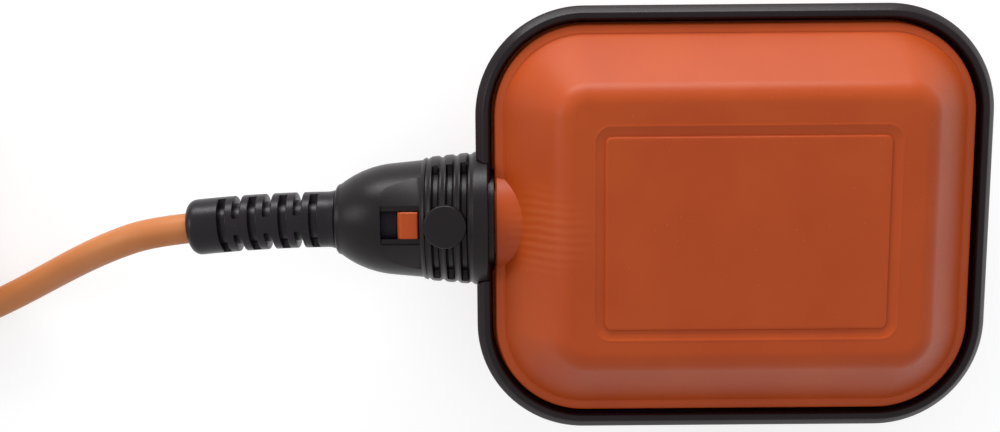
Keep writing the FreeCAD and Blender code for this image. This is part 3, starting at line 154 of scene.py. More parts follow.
def rounded_loft(rows: Array, closed_ends: bool = False, corner_steps: int = 20) -> Surface:
    """Surface through rounded rectangles that are stacked, nested or both.

    Args:
        rows: half length, half width, corner radius and height of each rectangle.
        closed_ends: True for a closed channel section, False for a body with two flat ends.
        corner_steps: steps on each corner.

    Returns:
        The closed surface.
    """
    shares, headings = rounded_outline(corner_steps)
    half, bend, height = rows[:, None, :2], rows[:, None, 2:3], rows[:, None, 3:]
    level = shares * (half - bend) + headings * bend
    lift = np.broadcast_to(height, level.shape[:2] + (1,))
    return Surface(np.concatenate([level, lift], axis=-1), closed_ends)


def turned(along: npt.ArrayLike, radius: npt.ArrayLike, around: int = 128,
           closed_ends: bool = False) -> Surface:
    """Surface of a section turned about the gland's axis, which runs along X.

    A point is at (along, radius cos t, axis height + radius sin t), t running round.

    Args:
        along: place of each ring along X.
        radius: radius of each ring, one number, or one for each point around.
        around: points on each ring.
        closed_ends: True for a closed section, such as a ring's.

    Returns:
        The closed surface.
    """
    turn = full_turn(around)
    places, sizes = (np.broadcast_to(np.reshape(part, (len(part), -1)), (len(part), around))
                     for part in (along, radius))
    return Surface(np.stack([places, sizes * np.cos(turn), AXIS_Z + sizes * np.sin(turn)], axis=-1),
                   closed_ends)


def prism(outline: Sequence[Pair] | Array, low: float, high: float, axis: str) -> Surface:
    """Straight body between two copies of a flat outline.

    Args:
        outline: corners of the outline; (Y, Z) for axis X, (X, Y) for axis Z.
        low: where the body starts on its axis.
        high: where it ends.
        axis: "X" or "Z".

    Returns:
        The closed surface.
    """
    flat = np.array(outline, float)
    place = 0 if axis == "X" else 2
    return Surface(np.stack([np.insert(flat, place, reach, axis=1) for reach in (low, high)]))


def half_round(low: float, high: float, radius: float, floor: float, edge: float) -> Surface:
    """Part of a cylinder along X that stands on a level floor, with a broken edge at one end.

    Its section is the arc of the circle above the floor, closed by a chord.

    Args:
        low: low end on X.
        high: high end on X.
        radius: radius of the cylinder, whose middle is on the parting plane.
        floor: height of its flat underside above that plane.
        edge: size of the broken edge at the low end.

    Returns:
        The closed surface, about the parting plane.
    """
    start = math.asin(floor / radius)
    turn = np.linspace(start, math.pi - start, 97)
    rings = [np.stack([np.full_like(turn, reach), size * np.cos(turn),
                       np.maximum(size * np.sin(turn), floor)], axis=-1)
             for reach, size in ((low, radius - edge), (low + edge, radius), (high, radius))]
    return Surface(np.stack(rings))


def put_in_scene(name: str, surface: Surface, side: Side | None = None) -> Piece:
    """Make a scene object from a surface, in metres and in the frame's place.

    Args:
        name: name of the piece.
        surface: its closed surface in millimetres.
        side: the half that it is on, if it was worked out about the parting plane: it is lifted
            to that plane, and turned upside down for BACK.

    Returns:
        The new object, at the origin, with faces that point outwards.
    """
    points = surface.grid.reshape(-1, 3)
    if side is not None:
        points = points * np.array([1.0, 1.0, side.value]) + np.array([0.0, 0.0, AXIS_Z])
    mesh = bpy.data.meshes.new(name)
    mesh.from_pydata((points * MM).tolist(), [], surface.faces())
    mesh.update()
    piece = bpy.data.objects.new(name, mesh)
    bpy.context.scene.collection.objects.link(piece)
    tidy_faces(piece, MERGE / 2)
    return piece


def tidy_faces(piece: Piece, merge: float = MERGE) -> None:
    """Merge doubled points and turn every face outwards.

    Args:
        piece: the piece, with a closed surface.
        merge: distance in metres under which points become one.
    """
    shape = bmesh.new()
    shape.from_mesh(piece.data)
    bmesh.ops.remove_doubles(shape, verts=shape.verts, dist=merge)
    bmesh.ops.recalc_face_normals(shape, faces=shape.faces)
    shape.to_mesh(piece.data)
    shape.free()


def combine(piece: Piece, tool: Surface, how: Join, side: Side | None = None) -> None:
    """Add a closed surface to a piece, or cut it away, and keep the result as its mesh.

    Args:
        piece: the piece that changes.
        tool: the surface to add or cut.
        how: ADD or CUT.
        side: as for put_in_scene.
    """
    helper = put_in_scene(f"{piece.name}_tool", tool, side)
    step = piece.modifiers.new("combine", "BOOLEAN")
    step.operation = how.value
    step.solver = "EXACT"
    step.object = helper
    graph = bpy.context.evaluated_depsgraph_get()
    result = bpy.data.meshes.new_from_object(piece.evaluated_get(graph))
    piece.modifiers.clear()
    old, spent = piece.data, helper.data
    piece.data = result
    result.name = piece.name
    bpy.data.meshes.remove(old)
    bpy.data.objects.remove(helper)
    bpy.data.meshes.remove(spent)


def shade(piece: Piece, sharp_angle: float = 33.0) -> None:
    """Shade a piece smoothly, and leave edges that turn by more than sharp_angle degrees."""
    piece.data.shade_smooth()
    piece.data.set_sharp_from_angle(angle=math.radians(sharp_angle))


# ---------------------------------------------------------------- nodes


def linear(colour: Triple) -> tuple[float, float, float, float]:
    """Scene colour of a screen colour.

    Args:
        colour: red, green and blue of the screen colour, in steps of 255.

    Returns:
        Linear red, green, blue and an alpha of 1.
    """
    values = np.array(colour) / 255.0
    low, high = values / 12.92, ((values + 0.055) / 1.055) ** 2.4
    red, green, blue = np.where(values <= 0.04045, low, high).tolist()
    return red, green, blue, 1.0


class NodeBench:
    """Places and joins the nodes of one tree."""

    def __init__(self, tree: Tree) -> None:
        """Keep the tree that is filled."""
        self.tree = tree

    def fill(self, node: Node, sockets: dict[str | int, object]) -> None:
        """Give some of a node's inputs what they read.

        Args:
            node: the node.
            sockets: by name or number of the input, another node's socket or a plain value.
        """
        for name, value in sockets.items():
            if isinstance(value, Socket):
                self.tree.links.new(value, node.inputs[name])
            else:
                node.inputs[name].default_value = value

    def add(self, kind: str, sockets: dict[str | int, object] | None = None,
            **settings: object) -> Node:
        """Add a node.

        Args:
            kind: the node's type.
            sockets: as for fill.
            settings: values of its properties.

        Returns:
            The node.
        """
        node = self.tree.nodes.new(kind)
        count = len(self.tree.nodes)
        node.location = (count * 170, (count % 4) * -180)
        for name, value in settings.items():
            setattr(node, name, value)
        self.fill(node, sockets or {})
        return node

    def number(self, operation: str, first: object, second: object) -> Socket:
        """Result of a Math operation on two numbers, each a socket or a plain value."""
        return self.add("ShaderNodeMath", {0: first, 1: second}, operation=operation).outputs[0]

    def span(self, value: Socket, low: float, high: float, new_low: float,
             new_high: float) -> Socket:
        """Number that is mapped from one span to another, and held within it."""
        return self.add("ShaderNodeMapRange", {
            "Value": value, "From Min": low, "From Max": high, "To Min": new_low,
            "To Max": new_high}).outputs["Result"]

    def blend(self, share: Socket, first: object, second: object) -> Socket:
        """Blend of two colours, sockets or plain ones, by the share of the second."""
        return self.add("ShaderNodeMix", {"Factor": share, 6: first, 7: second},
                        data_type="RGBA").outputs[2]

    def noise(self, place: Socket, scale: object, detail: float, roughness: float = 0.5) -> Socket:
        """Noise over a place, at a scale that is a socket or a plain number."""
        return self.add("ShaderNodeTexNoise", {"Vector": place, "Scale": scale, "Detail": detail,
                                               "Roughness": roughness}).outputs[0]

    def bump(self, height: Socket, depth: float) -> Socket:
        """Normal of a fine relief, depth millimetres deep where its height changes by 1."""
        return self.add("ShaderNodeBump", {"Strength": 1.0, "Distance": depth * MM,
                                           "Height": height}).outputs[0]


def new_group(name: str, inputs: dict[str, float], outputs: Iterable[str],
              ) -> tuple[NodeBench, dict[str, Socket], Node]:
    """Start a shader node group whose first input is the vector Place.

    Args:
        name: name of the group.
        inputs: its other inputs, plain numbers, and their starting values.
        outputs: names of its outputs, plain numbers too.

    Returns:
        The group's bench, the sockets that its inputs feed, and its output node.
    """
    tree = bpy.data.node_groups.new(name, "ShaderNodeTree")
    tree.interface.new_socket(name="Place", in_out="INPUT", socket_type="NodeSocketVector")
    for label, start in inputs.items():
        tree.interface.new_socket(name=label, in_out="INPUT",
                                  socket_type="NodeSocketFloat").default_value = start
    for label in outputs:
        tree.interface.new_socket(name=label, in_out="OUTPUT", socket_type="NodeSocketFloat")
    bench = NodeBench(tree)
    first = bench.add("NodeGroupInput")
    sockets = {label: first.outputs[label] for label in ("Place", *inputs)}
    return bench, sockets, bench.add("NodeGroupOutput")


def moulded_skin_group() -> Tree:
    """Group for moulded plastic: fine spark-eroded grain, slow clouds and tiny specks.

    Grain is the mean of two noises an octave and a half apart. Clouds is one slow noise.
    Specks is 1 where a cell noise is close to a cell's middle, and 0 elsewhere.

    Returns:
        The group.
    """
    bench, start, end = new_group("moulded_skin", {"Grain Scale": 3000.0, "Cloud Scale": 60.0},
                                  ["Grain", "Clouds", "Specks"])
    place, scale = start["Place"], start["Grain Scale"]
    coarse = bench.noise(place, scale, 2.0, 0.6)
    fine = bench.noise(place, bench.number("MULTIPLY", scale, 2.8), 1.0)
    cells = bench.add("ShaderNodeTexVoronoi", {
        "Vector": place, "Scale": bench.number("MULTIPLY", scale, 0.22)}, feature="F1")
    bench.fill(end, {
        "Grain": bench.number("MULTIPLY", bench.number("ADD", coarse, fine), 0.5),
        "Clouds": bench.noise(place, start["Cloud Scale"], 3.0, 0.55),
        "Specks": bench.span(cells.outputs["Distance"], 0.04, 0.09, 1.0, 0.0)})
    return bench.tree


def drawn_metal_group() -> Tree:
    """Group for turned or drawn metal: streaks along X and a soft tarnish.

    Streaks is a noise of a place that is squeezed along X. Tarnish is a slow noise.

    Returns:
        The group.
    """
    bench, start, end = new_group("drawn_metal", {"Streak Scale": 1500.0}, ["Streaks", "Tarnish"])
    squeeze = bench.add("ShaderNodeMapping", {"Vector": start["Place"], "Scale": (0.06, 1.0, 1.0)})
    bench.fill(end, {"Streaks": bench.noise(squeeze.outputs[0], start["Streak Scale"], 2.0),
                     "Tarnish": bench.noise(start["Place"], 220.0, 3.0)})
    return bench.tree


def melt_flow_group() -> Tree:
    """Group for the faint flow lines that melt leaves near its gate.

    Lines is a band pattern across Y, bent by noise. Near is 1 about the origin of Place and
    falls to 0 at Reach.

    Returns:
        The group.
    """
    bench, start, end = new_group("melt_flow", {"Reach": 0.011}, ["Lines", "Near"])
    bands = bench.add("ShaderNodeTexWave", {
        "Vector": start["Place"], "Scale": 185.0, "Distortion": 2.6, "Detail": 2.0,
        "Detail Scale": 0.6}, bands_direction="Y")
    distance = bench.add("ShaderNodeVectorMath", {0: start["Place"]}, operation="LENGTH")
    share = bench.number("DIVIDE", distance.outputs["Value"], start["Reach"])
    bench.fill(end, {"Lines": bands.outputs["Fac"],
                     "Near": bench.span(share, 0.45, 1.0, 1.0, 0.0)})
    return bench.tree


@dataclass(frozen=True)
class GroupShelf:
    """The shared node groups, made once."""

    skin: Tree = field(default_factory=moulded_skin_group)
    metal: Tree = field(default_factory=drawn_metal_group)
    flow: Tree = field(default_factory=melt_flow_group)


# ---------------------------------------------------------------- finishes


def new_material(name: str) -> tuple[Material, NodeBench, Node]:
    """Start a material.

    Args:
        name: its name.

    Returns:
        The material, its bench and its Principled shader.
    """
    material = bpy.data.materials.new(name)
    material.use_nodes = True
    tree = material.node_tree
    return material, NodeBench(tree), tree.nodes["Principled BSDF"]


@dataclass(frozen=True)
class MouldedFinish:
    """Moulded plastic or rubber with a fine grain.

    Attributes:
        name: name of the material.
        colour: its screen colour.
        cloud: screen colour that slow clouds drift towards.
        speck: screen colour of its tiny specks and of its flow lines.
        roughness: lowest and highest roughness over the grain.
        grain_size: grain, in millimetres.
        grain_depth: depth of the grain, in millimetres.
        shine: specular level.
        flow_gate: place in metres of the gate that flow lines surround, if they show.
        through: share of the light that passes into the plastic, such as in a clear lid.
        cloud_scale: scale of the clouds.
        cloud_span: values between which the clouds run from none to full.
        speck_share: how strongly specks colour the surface.
        flow_share: how strongly flow lines colour it.
        flow_height: height of the flow lines against the grain's.
    """

    name: str
    colour: Triple
    cloud: Triple
    speck: Triple
    roughness: Pair = (0.35, 0.5)
    grain_size: float = 0.35
    grain_depth: float = 0.01
    shine: float = 0.5
    flow_gate: Triple | None = None
    through: float = 0.0
    cloud_scale: float = 55.0
    cloud_span: Pair = (0.35, 0.68)
    speck_share: float = 0.5
    flow_share: float = 0.4
    flow_height: float = 1.6

    def make(self, shelf: GroupShelf) -> Material:
        """Build the material.

        Args:
            shelf: the shared groups.

        Returns:
            The material.
        """
        material, bench, shader = new_material(self.name)
        place = bench.add("ShaderNodeTexCoord").outputs["Object"]
        skin = bench.add("ShaderNodeGroup", {
            "Place": place, "Grain Scale": 1.0 / (self.grain_size * MM),
            "Cloud Scale": self.cloud_scale}, node_tree=shelf.skin).outputs
        height, speck = skin["Grain"], linear(self.speck)
        clouds = bench.span(skin["Clouds"], *self.cloud_span, 0.0, 1.0)
        colour = bench.blend(clouds, linear(self.colour), linear(self.cloud))
        if self.flow_gate is not None:
            centre = bench.add("ShaderNodeMapping", {
                "Vector": place, "Location": tuple(-part for part in self.flow_gate)})
            flow = bench.add("ShaderNodeGroup", {"Place": centre.outputs[0]},
                             node_tree=shelf.flow).outputs
            share = bench.number("MULTIPLY", flow["Lines"], flow["Near"])
            tint = bench.number("MULTIPLY", share, self.flow_share)
            colour = bench.blend(tint, colour, speck)
            lines = bench.number("MULTIPLY", share, self.flow_height)
            height = bench.number("ADD", height, lines)
        specks = bench.number("MULTIPLY", skin["Specks"], self.speck_share)
        bench.fill(shader, {
            "Base Color": bench.blend(specks, colour, speck),
            "Roughness": bench.span(skin["Grain"], *NOISE_SPAN, *self.roughness),
            "Normal": bench.bump(height, self.grain_depth),
            "Specular IOR Level": self.shine,
            "Transmission Weight": self.through})
        return material


@dataclass(frozen=True)
class MetalFinish:
    """Bare metal with drawing streaks and a little tarnish.

    Attributes:
        name: name of the material.
        colour: its screen colour.
        tarnish: screen colour of the tarnish.
        roughness: lowest and highest roughness over the streaks.
        streak_scale: scale of the streaks.
        streak_depth: depth of the streaks, in millimetres.
        tarnish_span: values between which the tarnish runs from none to its most.
        tarnish_share: how strongly it colours the metal there.
    """

    name: str
    colour: Triple
    tarnish: Triple
    roughness: Pair = (0.18, 0.34)
    streak_scale: float = 1500.0
    streak_depth: float = 0.002
    tarnish_span: Pair = (0.45, 0.75)
    tarnish_share: float = 0.7

    def make(self, shelf: GroupShelf) -> Material:
        """Build the material.

        Args:
            shelf: the shared groups.

        Returns:
            The material.
        """
        material, bench, shader = new_material(self.name)
        place = bench.add("ShaderNodeTexCoord").outputs["Object"]
        metal = bench.add("ShaderNodeGroup", {"Place": place, "Streak Scale": self.streak_scale},
                          node_tree=shelf.metal).outputs
        share = bench.span(metal["Tarnish"], *self.tarnish_span, 0.0, self.tarnish_share)
        bench.fill(shader, {
            "Base Color": bench.blend(share, linear(self.colour), linear(self.tarnish)),
            "Roughness": bench.span(metal["Streaks"], *NOISE_SPAN, *self.roughness),
            "Normal": bench.bump(metal["Streaks"], self.streak_depth),
            "Metallic": 1.0})
        return material


# ---------------------------------------------------------------- the float


@dataclass
class FloatOutline:
    """Outline that the shells and the frame share: a rectangle with round corners."""

    half_length: float = 52.5
    half_width: float = 43.5
    corner: float = 22.0

    def pulled_in(self, section: Iterable[Pair]) -> Array:
        """Rows for rounded_loft: the outline pulled in by each inset, at its height."""
        return np.array([(self.half_length - inset, self.half_width - inset, self.corner - inset,
                          height) for inset, height in section])


@dataclass
class Shell(FloatOutline):
    """One moulded half of the float: flange, bevel, flat, half of the neck and a snap tab."""

    flange_inset: float = 3.1
    flange_rise: float = 2.5
    wall_inset: float = 3.75
    ledge_rise: float = 6.8
    bevel_inset: float = 5.9
    bevel_rise: float = 7.2
    bevel_slope: float = 0.85
    top: float = 20.0
    face_round: float = 5.5
    cavity_inset: float = 6.857
    cavity_slope: float = 0.577
    cavity_top: float = 17.8
    panel_half: Pair = (29.25, 20.7)
    panel_corner: float = 3.1
    panel_line: float = 2.0
    panel_depth: float = 0.45
    panel_shift: float = -0.9
    neck_reach: Pair = (-68.5, -46.0)
    neck_radius: float = 9.0
    neck_floor: float = 0.02
    neck_edge: float = 0.15
    bump_reach: Pair = (-48.5, -41.0)
    bump_radius: float = 11.3
    bump_floor: float = 2.6
    bump_edge: float = 0.3
    cable_hole: Pair = (-39.0, 3.4)  # inner end on X, radius
    grommet_seat: Pair = (-60.5, 5.6)  # likewise
    tab_reach: Pair = (-68.3, -64.1)
    tab_half: float = 2.7
    tab_rise: Pair = (7.5, 11.2)
    tab_round: float = 1.1
    tab_edge: float = 0.18
    boss_places: tuple[Pair, ...] = ((-22.0, -15.0), (-22.0, 15.0), (30.0, -15.0), (30.0, 15.0))
    boss: Triple = (3.2, 1.2, 7.0)  # radius, foot, top
    boss_hole: Triple = (1.25, 2.6, 8.0)  # likewise

    def cavity_inset_at(self, height: float) -> float:
        """Inset of the hollow's sloping wall at a height."""
        return self.cavity_inset + self.cavity_slope * height

    def profile(self) -> Array:
        """Section from the ceiling of the hollow, round the flange and up to the flat's rim.

        After the hollow come the flange, a wall beside the frame, a narrow ledge with a rounded
        edge, the crease at the bevel's foot, and the bevel, which meets the flat in an arc.

        Returns:
            The rows, as in FloatOutline.pulled_in.
        """
        edge, rise, wall, ledge = (self.flange_inset, self.flange_rise, self.wall_inset,
                                   self.ledge_rise)
        foot, foot_rise, bend = self.bevel_inset, self.bevel_rise, self.face_round
        rows = [(self.cavity_inset_at(height), height)
                for height in (self.cavity_top, self.cavity_top - 0.4, 9.0, 0.4, 0.0)]
        rows += [(edge + 0.5, 0.0), (edge + 0.15, 0.0), (edge + 0.04, 0.04), (edge, 0.15),
                 (edge, rise - 0.2), (edge + 0.06, rise - 0.06), (edge + 0.2, rise)]
        rows += [(wall - 0.12, rise), (wall - 0.02, rise + 0.1), (wall, rise + 0.3),
                 (wall + 0.05, ledge - 0.75)]
        rows += [(wall + 0.05 + 0.6 * (1 - math.cos(turn)), ledge - 0.7 + 0.62 * math.sin(turn))
                 for turn in np.linspace(0.15, 1.35, 6)]
        rows += [(wall + 0.9, ledge - 0.02), (foot - 0.5, foot_rise - 0.14),
                 (foot - 0.3, foot_rise - 0.12), (foot - 0.15, foot_rise - 0.17),
                 (foot - 0.02, foot_rise - 0.1), (foot + 0.04, foot_rise + 0.05)]
        arc_start = math.pi / 2 - math.atan(self.bevel_slope)
        arc_x = foot + self.bevel_slope * (self.top - foot_rise) + bend * math.tan(arc_start / 2)
        arc = [(arc_x - bend * math.sin(turn), self.top - bend + bend * math.cos(turn))
               for turn in np.linspace(arc_start, 0.0, 15)]
        for share in (0.03, 0.3, 0.6, 0.9, 0.98):
            height = foot_rise + (arc[0][1] - foot_rise) * share
            rows.append((foot + self.bevel_slope * (height - foot_rise), height))
        return self.pulled_in(rows + arc + [(arc_x + 0.5, self.top)])

    def panel_rows(self) -> Array:
        """Section of the bare label panel's line, from its outside to the panel.

        Returns:
            Rows for rounded_loft: over a faint lip, down a floor that falls towards the panel,
            and up the panel's edge.
        """
        width, depth = self.panel_line, self.panel_depth
        steps = [(-0.6, 0.0), (-0.42, 0.0), (-0.26, 0.045), (-0.1, 0.045), (0.08, -0.07),
                 (0.3, -0.15), (width * 0.5, -0.27), (width - 0.4, -depth + 0.04),
                 (width - 0.24, -depth), (width - 0.13, -depth + 0.1), (width - 0.04, -0.13),
                 (width + 0.06, -0.03), (width + 0.2, 0.0), (width + 0.6, 0.0)]
        return np.array([(self.panel_half[0] - step, self.panel_half[1] - step,
                          max(self.panel_corner - step, 0.5), self.top + lift)
                         for step, lift in steps])

    def cavity(self, gap: float = 0.003) -> Surface:
        """The hollow less a small gap, which clears the neck and the swelling out of it."""
        return rounded_loft(self.pulled_in((self.cavity_inset_at(height) + gap, height)
                                           for height in (-0.5, self.cavity_top - gap)))

    def tab(self) -> Surface:
        """Snap tab on the neck: a block whose low X edge is rounded on the top.

        Returns:
            The closed surface, about the parting plane.
        """
        (low, high), (foot, top), bend = self.tab_reach, self.tab_rise, self.tab_round
        flat = np.array([(low, foot)]
                        + [(low + bend + bend * math.cos(turn), top - bend + bend * math.sin(turn))
                           for turn in np.linspace(math.pi, math.pi / 2, 9)]
                        + [(high - 0.2, top), (high, top - 0.2), (high, foot)])
        half, edge = self.tab_half, self.tab_edge
        walls = []
        for across, shrink in ((-half, edge), (-half + edge, 0.0), (half - edge, 0.0),
                               (half, edge)):
            rise = np.where(flat[:, 1] > foot, flat[:, 1] - shrink, flat[:, 1])
            walls.append(np.stack([flat[:, 0], np.full(len(flat), across), rise], axis=-1))
        return Surface(np.stack(walls))

    def build(self, name: str, side: Side) -> Piece:
        """Make the shell's moulding.

        Args:
            name: name of the piece.
            side: which half it is. The front has the label panel, the back has screw bosses.

        Returns:
            The piece.
        """
        rows = self.profile()
        plain = len(rows)
        if side is Side.FRONT:
            rows = np.concatenate([rows, self.panel_rows()])
        body = rounded_loft(rows)
        body.grid[plain:, :, 1] += self.panel_shift
        piece = put_in_scene(name, body, side)
        neck = half_round(*self.neck_reach, self.neck_radius, self.neck_floor, self.neck_edge)
        bump = half_round(*self.bump_reach, self.bump_radius, self.bump_floor, self.bump_edge)
        for part in (neck, bump, self.tab()):
            combine(piece, part, Join.ADD, side)
        combine(piece, self.cavity(), Join.CUT, side)
        for (end, radius), around in ((self.cable_hole, 64), (self.grommet_seat, 72)):
            hole = turned([self.neck_reach[0] - 1, end], [radius, radius], around)
            combine(piece, hole, Join.CUT)
        if side is Side.BACK:
            self.add_bosses(piece)
        tidy_faces(piece)
        shade(piece)
        return piece

    def add_bosses(self, piece: Piece) -> None:
        """Four screw bosses inside the back shell, each with its hole.

        Args:
            piece: the shell.
        """
        circle = np.stack([np.cos(full_turn(48)), np.sin(full_turn(48))], axis=-1)
        for place in self.boss_places:
            for (radius, low, high), how in ((self.boss, Join.ADD), (self.boss_hole, Join.CUT)):
                combine(piece, prism(place + radius * circle, low, high, "Z"), how)


@dataclass
class SealFrame(FloatOutline):
    """The black channel round the parting line, with its beads and the gland's mouth."""

    wall: float = 3.0
    rise: float = 7.5
    outer_slope: Pair = (1.6, 1.55)  # width, drop
    inner_round: float = 0.75
    bead: float = 0.15
    bead_span: Pair = (2.6, 4.0)
    # collar, collar_reach and collar_foot size a black piece that is painted shade, standing in for
    # the shade between the cap and the swelling
    collar: Pair = (9.03, 10.9)  # inner radius, outer radius
    collar_reach: Pair = (-49.93, -48.8)
    collar_foot: float = 2.65
    mouth_radius: float = 14.3
    mouth_reach: Triple = (-54.5, -49.93, -46.7)  # outer end, its floor, inner end
    neck_mouth: float = 10.4

    def section(self) -> list[Pair]:
        """Section of the upper half: outside wall, sloping outer edge, lip, inside wall, bead.

        Returns:
            Inset and height of each row, from the parting plane outside to it inside.
        """
        (across, drop), bend = self.outer_slope, self.inner_round
        edge, inner, (low, high) = self.rise - drop, self.wall + self.bead, self.bead_span
        rows = [(0.0, 0.0), (0.0, edge - 0.4), (0.0, edge - 0.2), (0.03, edge - 0.05),
                (0.12, edge + 0.08)]
        rows += [(across * share, self.rise - drop * (1 - share)) for share in (0.16, 0.5, 0.84)]
        rows += [(across - 0.1, self.rise - 0.11), (across + 0.05, self.rise - 0.03),
                 (across + 0.2, self.rise), (self.wall - bend - 0.12, self.rise)]
        rows += [(self.wall - bend * (1 - math.sin(turn)), self.rise - bend * (1 - math.cos(turn)))
                 for turn in np.linspace(0, math.pi / 2, 9)]
        return rows + [(self.wall, high + 0.2), (inner, high), (inner, low), (self.wall, low),
                       (self.wall, 0.0)]

    def shade_collar(self) -> Surface:
        """Low black collar that hugs half of the neck, above the flange. It is painted shade: a
        dark piece that stands in for the shade in the gap between the cap and the swelling.

        Its section is a rectangle in radius and X, carried round the X axis from the
        flange's height on one side to the same height on the other.

        Returns:
            The closed surface, about the parting plane.
        """
        (inner, outer), (low, high), edge = self.collar, self.collar_reach, 0.1
        radius = np.array([inner, outer - edge, outer, outer, inner])
        along = np.array([high, high, high - edge, low, low])
        start = np.arcsin(self.collar_foot / radius)
        turn = start + (math.pi - 2 * start) * np.linspace(0, 1, 65)[:, None]
        return Surface(np.stack([np.broadcast_to(along, turn.shape), radius * np.cos(turn),
                                 radius * np.sin(turn)], axis=-1))

    def build(self, name: str) -> Piece:
        """Make the frame's moulding.

        Args:
            name: name of the piece.

        Returns:
            The piece.
        """
        upper = self.section()
        lower = [(inset, -height) for inset, height in upper[-2:0:-1]]
        body = rounded_loft(self.pulled_in(upper + lower), closed_ends=True, corner_steps=28)
        piece = put_in_scene(name, body, Side.FRONT)
        start, depth, end = self.mouth_reach
        wide, narrow = self.mouth_radius, self.neck_mouth
        combine(piece, turned([start, depth, depth, end], [wide, wide, narrow, narrow], 160),
                Join.CUT)
        # the collars are painted shade: black pieces that fill the shaded gap between the cap and
        # the swelling
        for side in Side:
            combine(piece, self.shade_collar(), Join.ADD, side)
        tidy_faces(piece)
        shade(piece)
        return piece


# ---------------------------------------------------------------- the gland


@dataclass
class GlandCap:
    """Skirt with grip slots, dome, snap windows, flats and a bare round pad, in one moulding."""

    root: float = -50.0
    skirt_end: float = -63.7
    step: float = 1.0
    root_radius: float = 14.2
    skirt_radius: float = 12.95
    slot_first: float = 4.85
    slot_pitch: float = 2.9
    slot_floor: float = 11.5
    slot_flat: float = 0.42
    slot_shoulder: float = 0.8
    slot_rise: float = 6.2
    slot_fade: float = 0.35
    slot_rings: tuple[float, ...] = (
        -1.15, -1.0, -0.9, -0.8, -0.74, -0.68, -0.62, -0.56, -0.5, -0.42, 0.0, 0.42, 0.5, 0.56,
        0.62, 0.68, 0.74, 0.8, 0.9, 1.0, 1.1, 1.25, 1.4, 1.55, 1.7)
    waist_depth: float = 0.42
    waist_half: float = 0.85
    waist_lead: float = 1.1
    dome_radius: float = 12.3
    shoulder: Pair = (-70.0, 11.7)  # place on X, radius
    dome_curve: float = 21.0
    tip: float = -81.8
    tip_radius: float = 6.7
    tip_round: float = 1.1
    hollow: tuple[Pair, ...] = (  # place on X and radius, from the tip to the open end
        (-81.8, 5.35), (-81.55, 5.1), (-78.9, 5.1), (-78.8, 5.2), (-78.8, 7.4), (-78.7, 7.5),
        (-74.5, 7.5), (-74.4, 7.6), (-74.4, 9.2), (-74.3, 9.3), (-50.3, 9.3), (-50.0, 9.6))
    window_reach: Pair = (-71.7, -63.7)
    # the second, narrower step leaves black ledges over the neck beside the tab: painted shade,
    # standing in for the deep shade in the window
    window_steps: tuple[Pair, ...] = ((3.95, 10.2), (2.86, 0.5))  # half width, floor
    window_height: float = 24.0
    flat: tuple[Pair, ...] = ((2.2, 12.0), (9.3, 7.9), (13.3, 11.9), (6.2, 16.0))  # Y, Z
    flat_end: float = -72.9
    pad_x: float = -58.6
    pad_radius: float = 4.35
    pad_foot: float = 11.2
    pad_top: float = 13.75
    pad_round: float = 0.45
    around: int = 288

    def skirt(self) -> tuple[Array, Array]:
        """Skirt from the cap's open end to its last rib, with slots and waists.

        The plain skirt narrows evenly. The radius at a place is the plain skirt's, less a
        rounded waist beside each slot, and inside a slot it falls to the slot's floor. A slot
        is open where the skirt stands more than slot_rise above or below the axis.

        Returns:
            Places along X, and radii for each point of each ring.
        """
        slots = [self.root - self.slot_first - self.slot_pitch * index for index in range(3)]
        last = self.skirt_end + self.step
        steps = {self.root, self.root - 0.12, self.root - 0.35}
        steps.update(round(slot + offset, 4) for slot in slots for offset in self.slot_rings)
        steps.update(round(self.root - offset, 4) for offset in np.linspace(0.5, 3.5, 10))
        steps.update(round(last + offset, 4) for offset in (0.3, 0.12, 0.0))
        along = np.array(sorted((value for value in steps if value >= last), reverse=True))
        share = (self.root - along) / (self.root - self.skirt_end - self.step)
        plain = self.root_radius + (self.skirt_radius - self.root_radius) * share
        for slot in slots + [slots[-1] - self.slot_pitch]:
            reach = np.clip(np.abs(along - (slot + self.waist_lead)) / self.waist_half, 0, 1)
            plain = plain - self.waist_depth * (0.5 + 0.5 * np.cos(math.pi * reach))
        plain[:2] -= (0.18, 0.05)
        depth = np.zeros_like(along)
        for slot in slots:
            depth = np.maximum(depth, ease((self.slot_shoulder - np.abs(along - slot))
                                           / (self.slot_shoulder - self.slot_flat)))
        plain = plain[:, None]
        height = np.abs(plain * np.sin(full_turn(self.around)))
        share = ease((height - self.slot_rise) / self.slot_fade)
        return along, plain - depth[:, None] * share * (plain - self.slot_floor)

    def dome(self) -> list[Pair]:
        """The dome from the skirt's step to the rounded tip.

        Its side runs straight to the shoulder, and from there on in an arc of one radius.

        Returns:
            Place along X and radius of each ring.
        """
        last, wide = self.skirt_end, self.dome_radius
        rows = [(last + self.step - 0.15, self.skirt_radius - 0.12), (last + 0.25, wide + 0.28),
                (last + 0.08, wide + 0.05), (last, wide), (last - 0.15, wide - 0.01)]
        straight = np.linspace(last - 1.2, self.shoulder[0], 4)
        rows += zip(straight, np.interp(straight, [self.shoulder[0], last],
                                        [self.shoulder[1], wide]))
        start, end = np.array(self.shoulder), np.array([self.tip, self.tip_radius])
        chord = end - start
        length = float(np.hypot(*chord))
        across = np.array([-chord[1], chord[0]]) / length
        centre = (start + end) / 2 + across * math.sqrt(self.dome_curve ** 2 - (length / 2) ** 2)
        first, final = (math.atan2(*(place - centre)[::-1]) for place in (start, end))
        turn = np.linspace(first, final, 22)
        arc = centre + self.dome_curve * np.stack([np.cos(turn), np.sin(turn)], axis=-1)
        rim = self.tip_round * 0.75
        arc = arc[arc[:, 0] > self.tip + rim]
        edge = np.linspace(0.25, 1.0, 7) * math.pi / 2
        places = self.tip + rim * (1 - np.sin(edge))
        radii = arc[-1, 1] - self.tip_round * 1.15 + self.tip_round * 1.1 * np.cos(edge * 0.95)
        return [*rows, *arc, *zip(places, radii), (self.tip, radii[-1] - 0.3)]

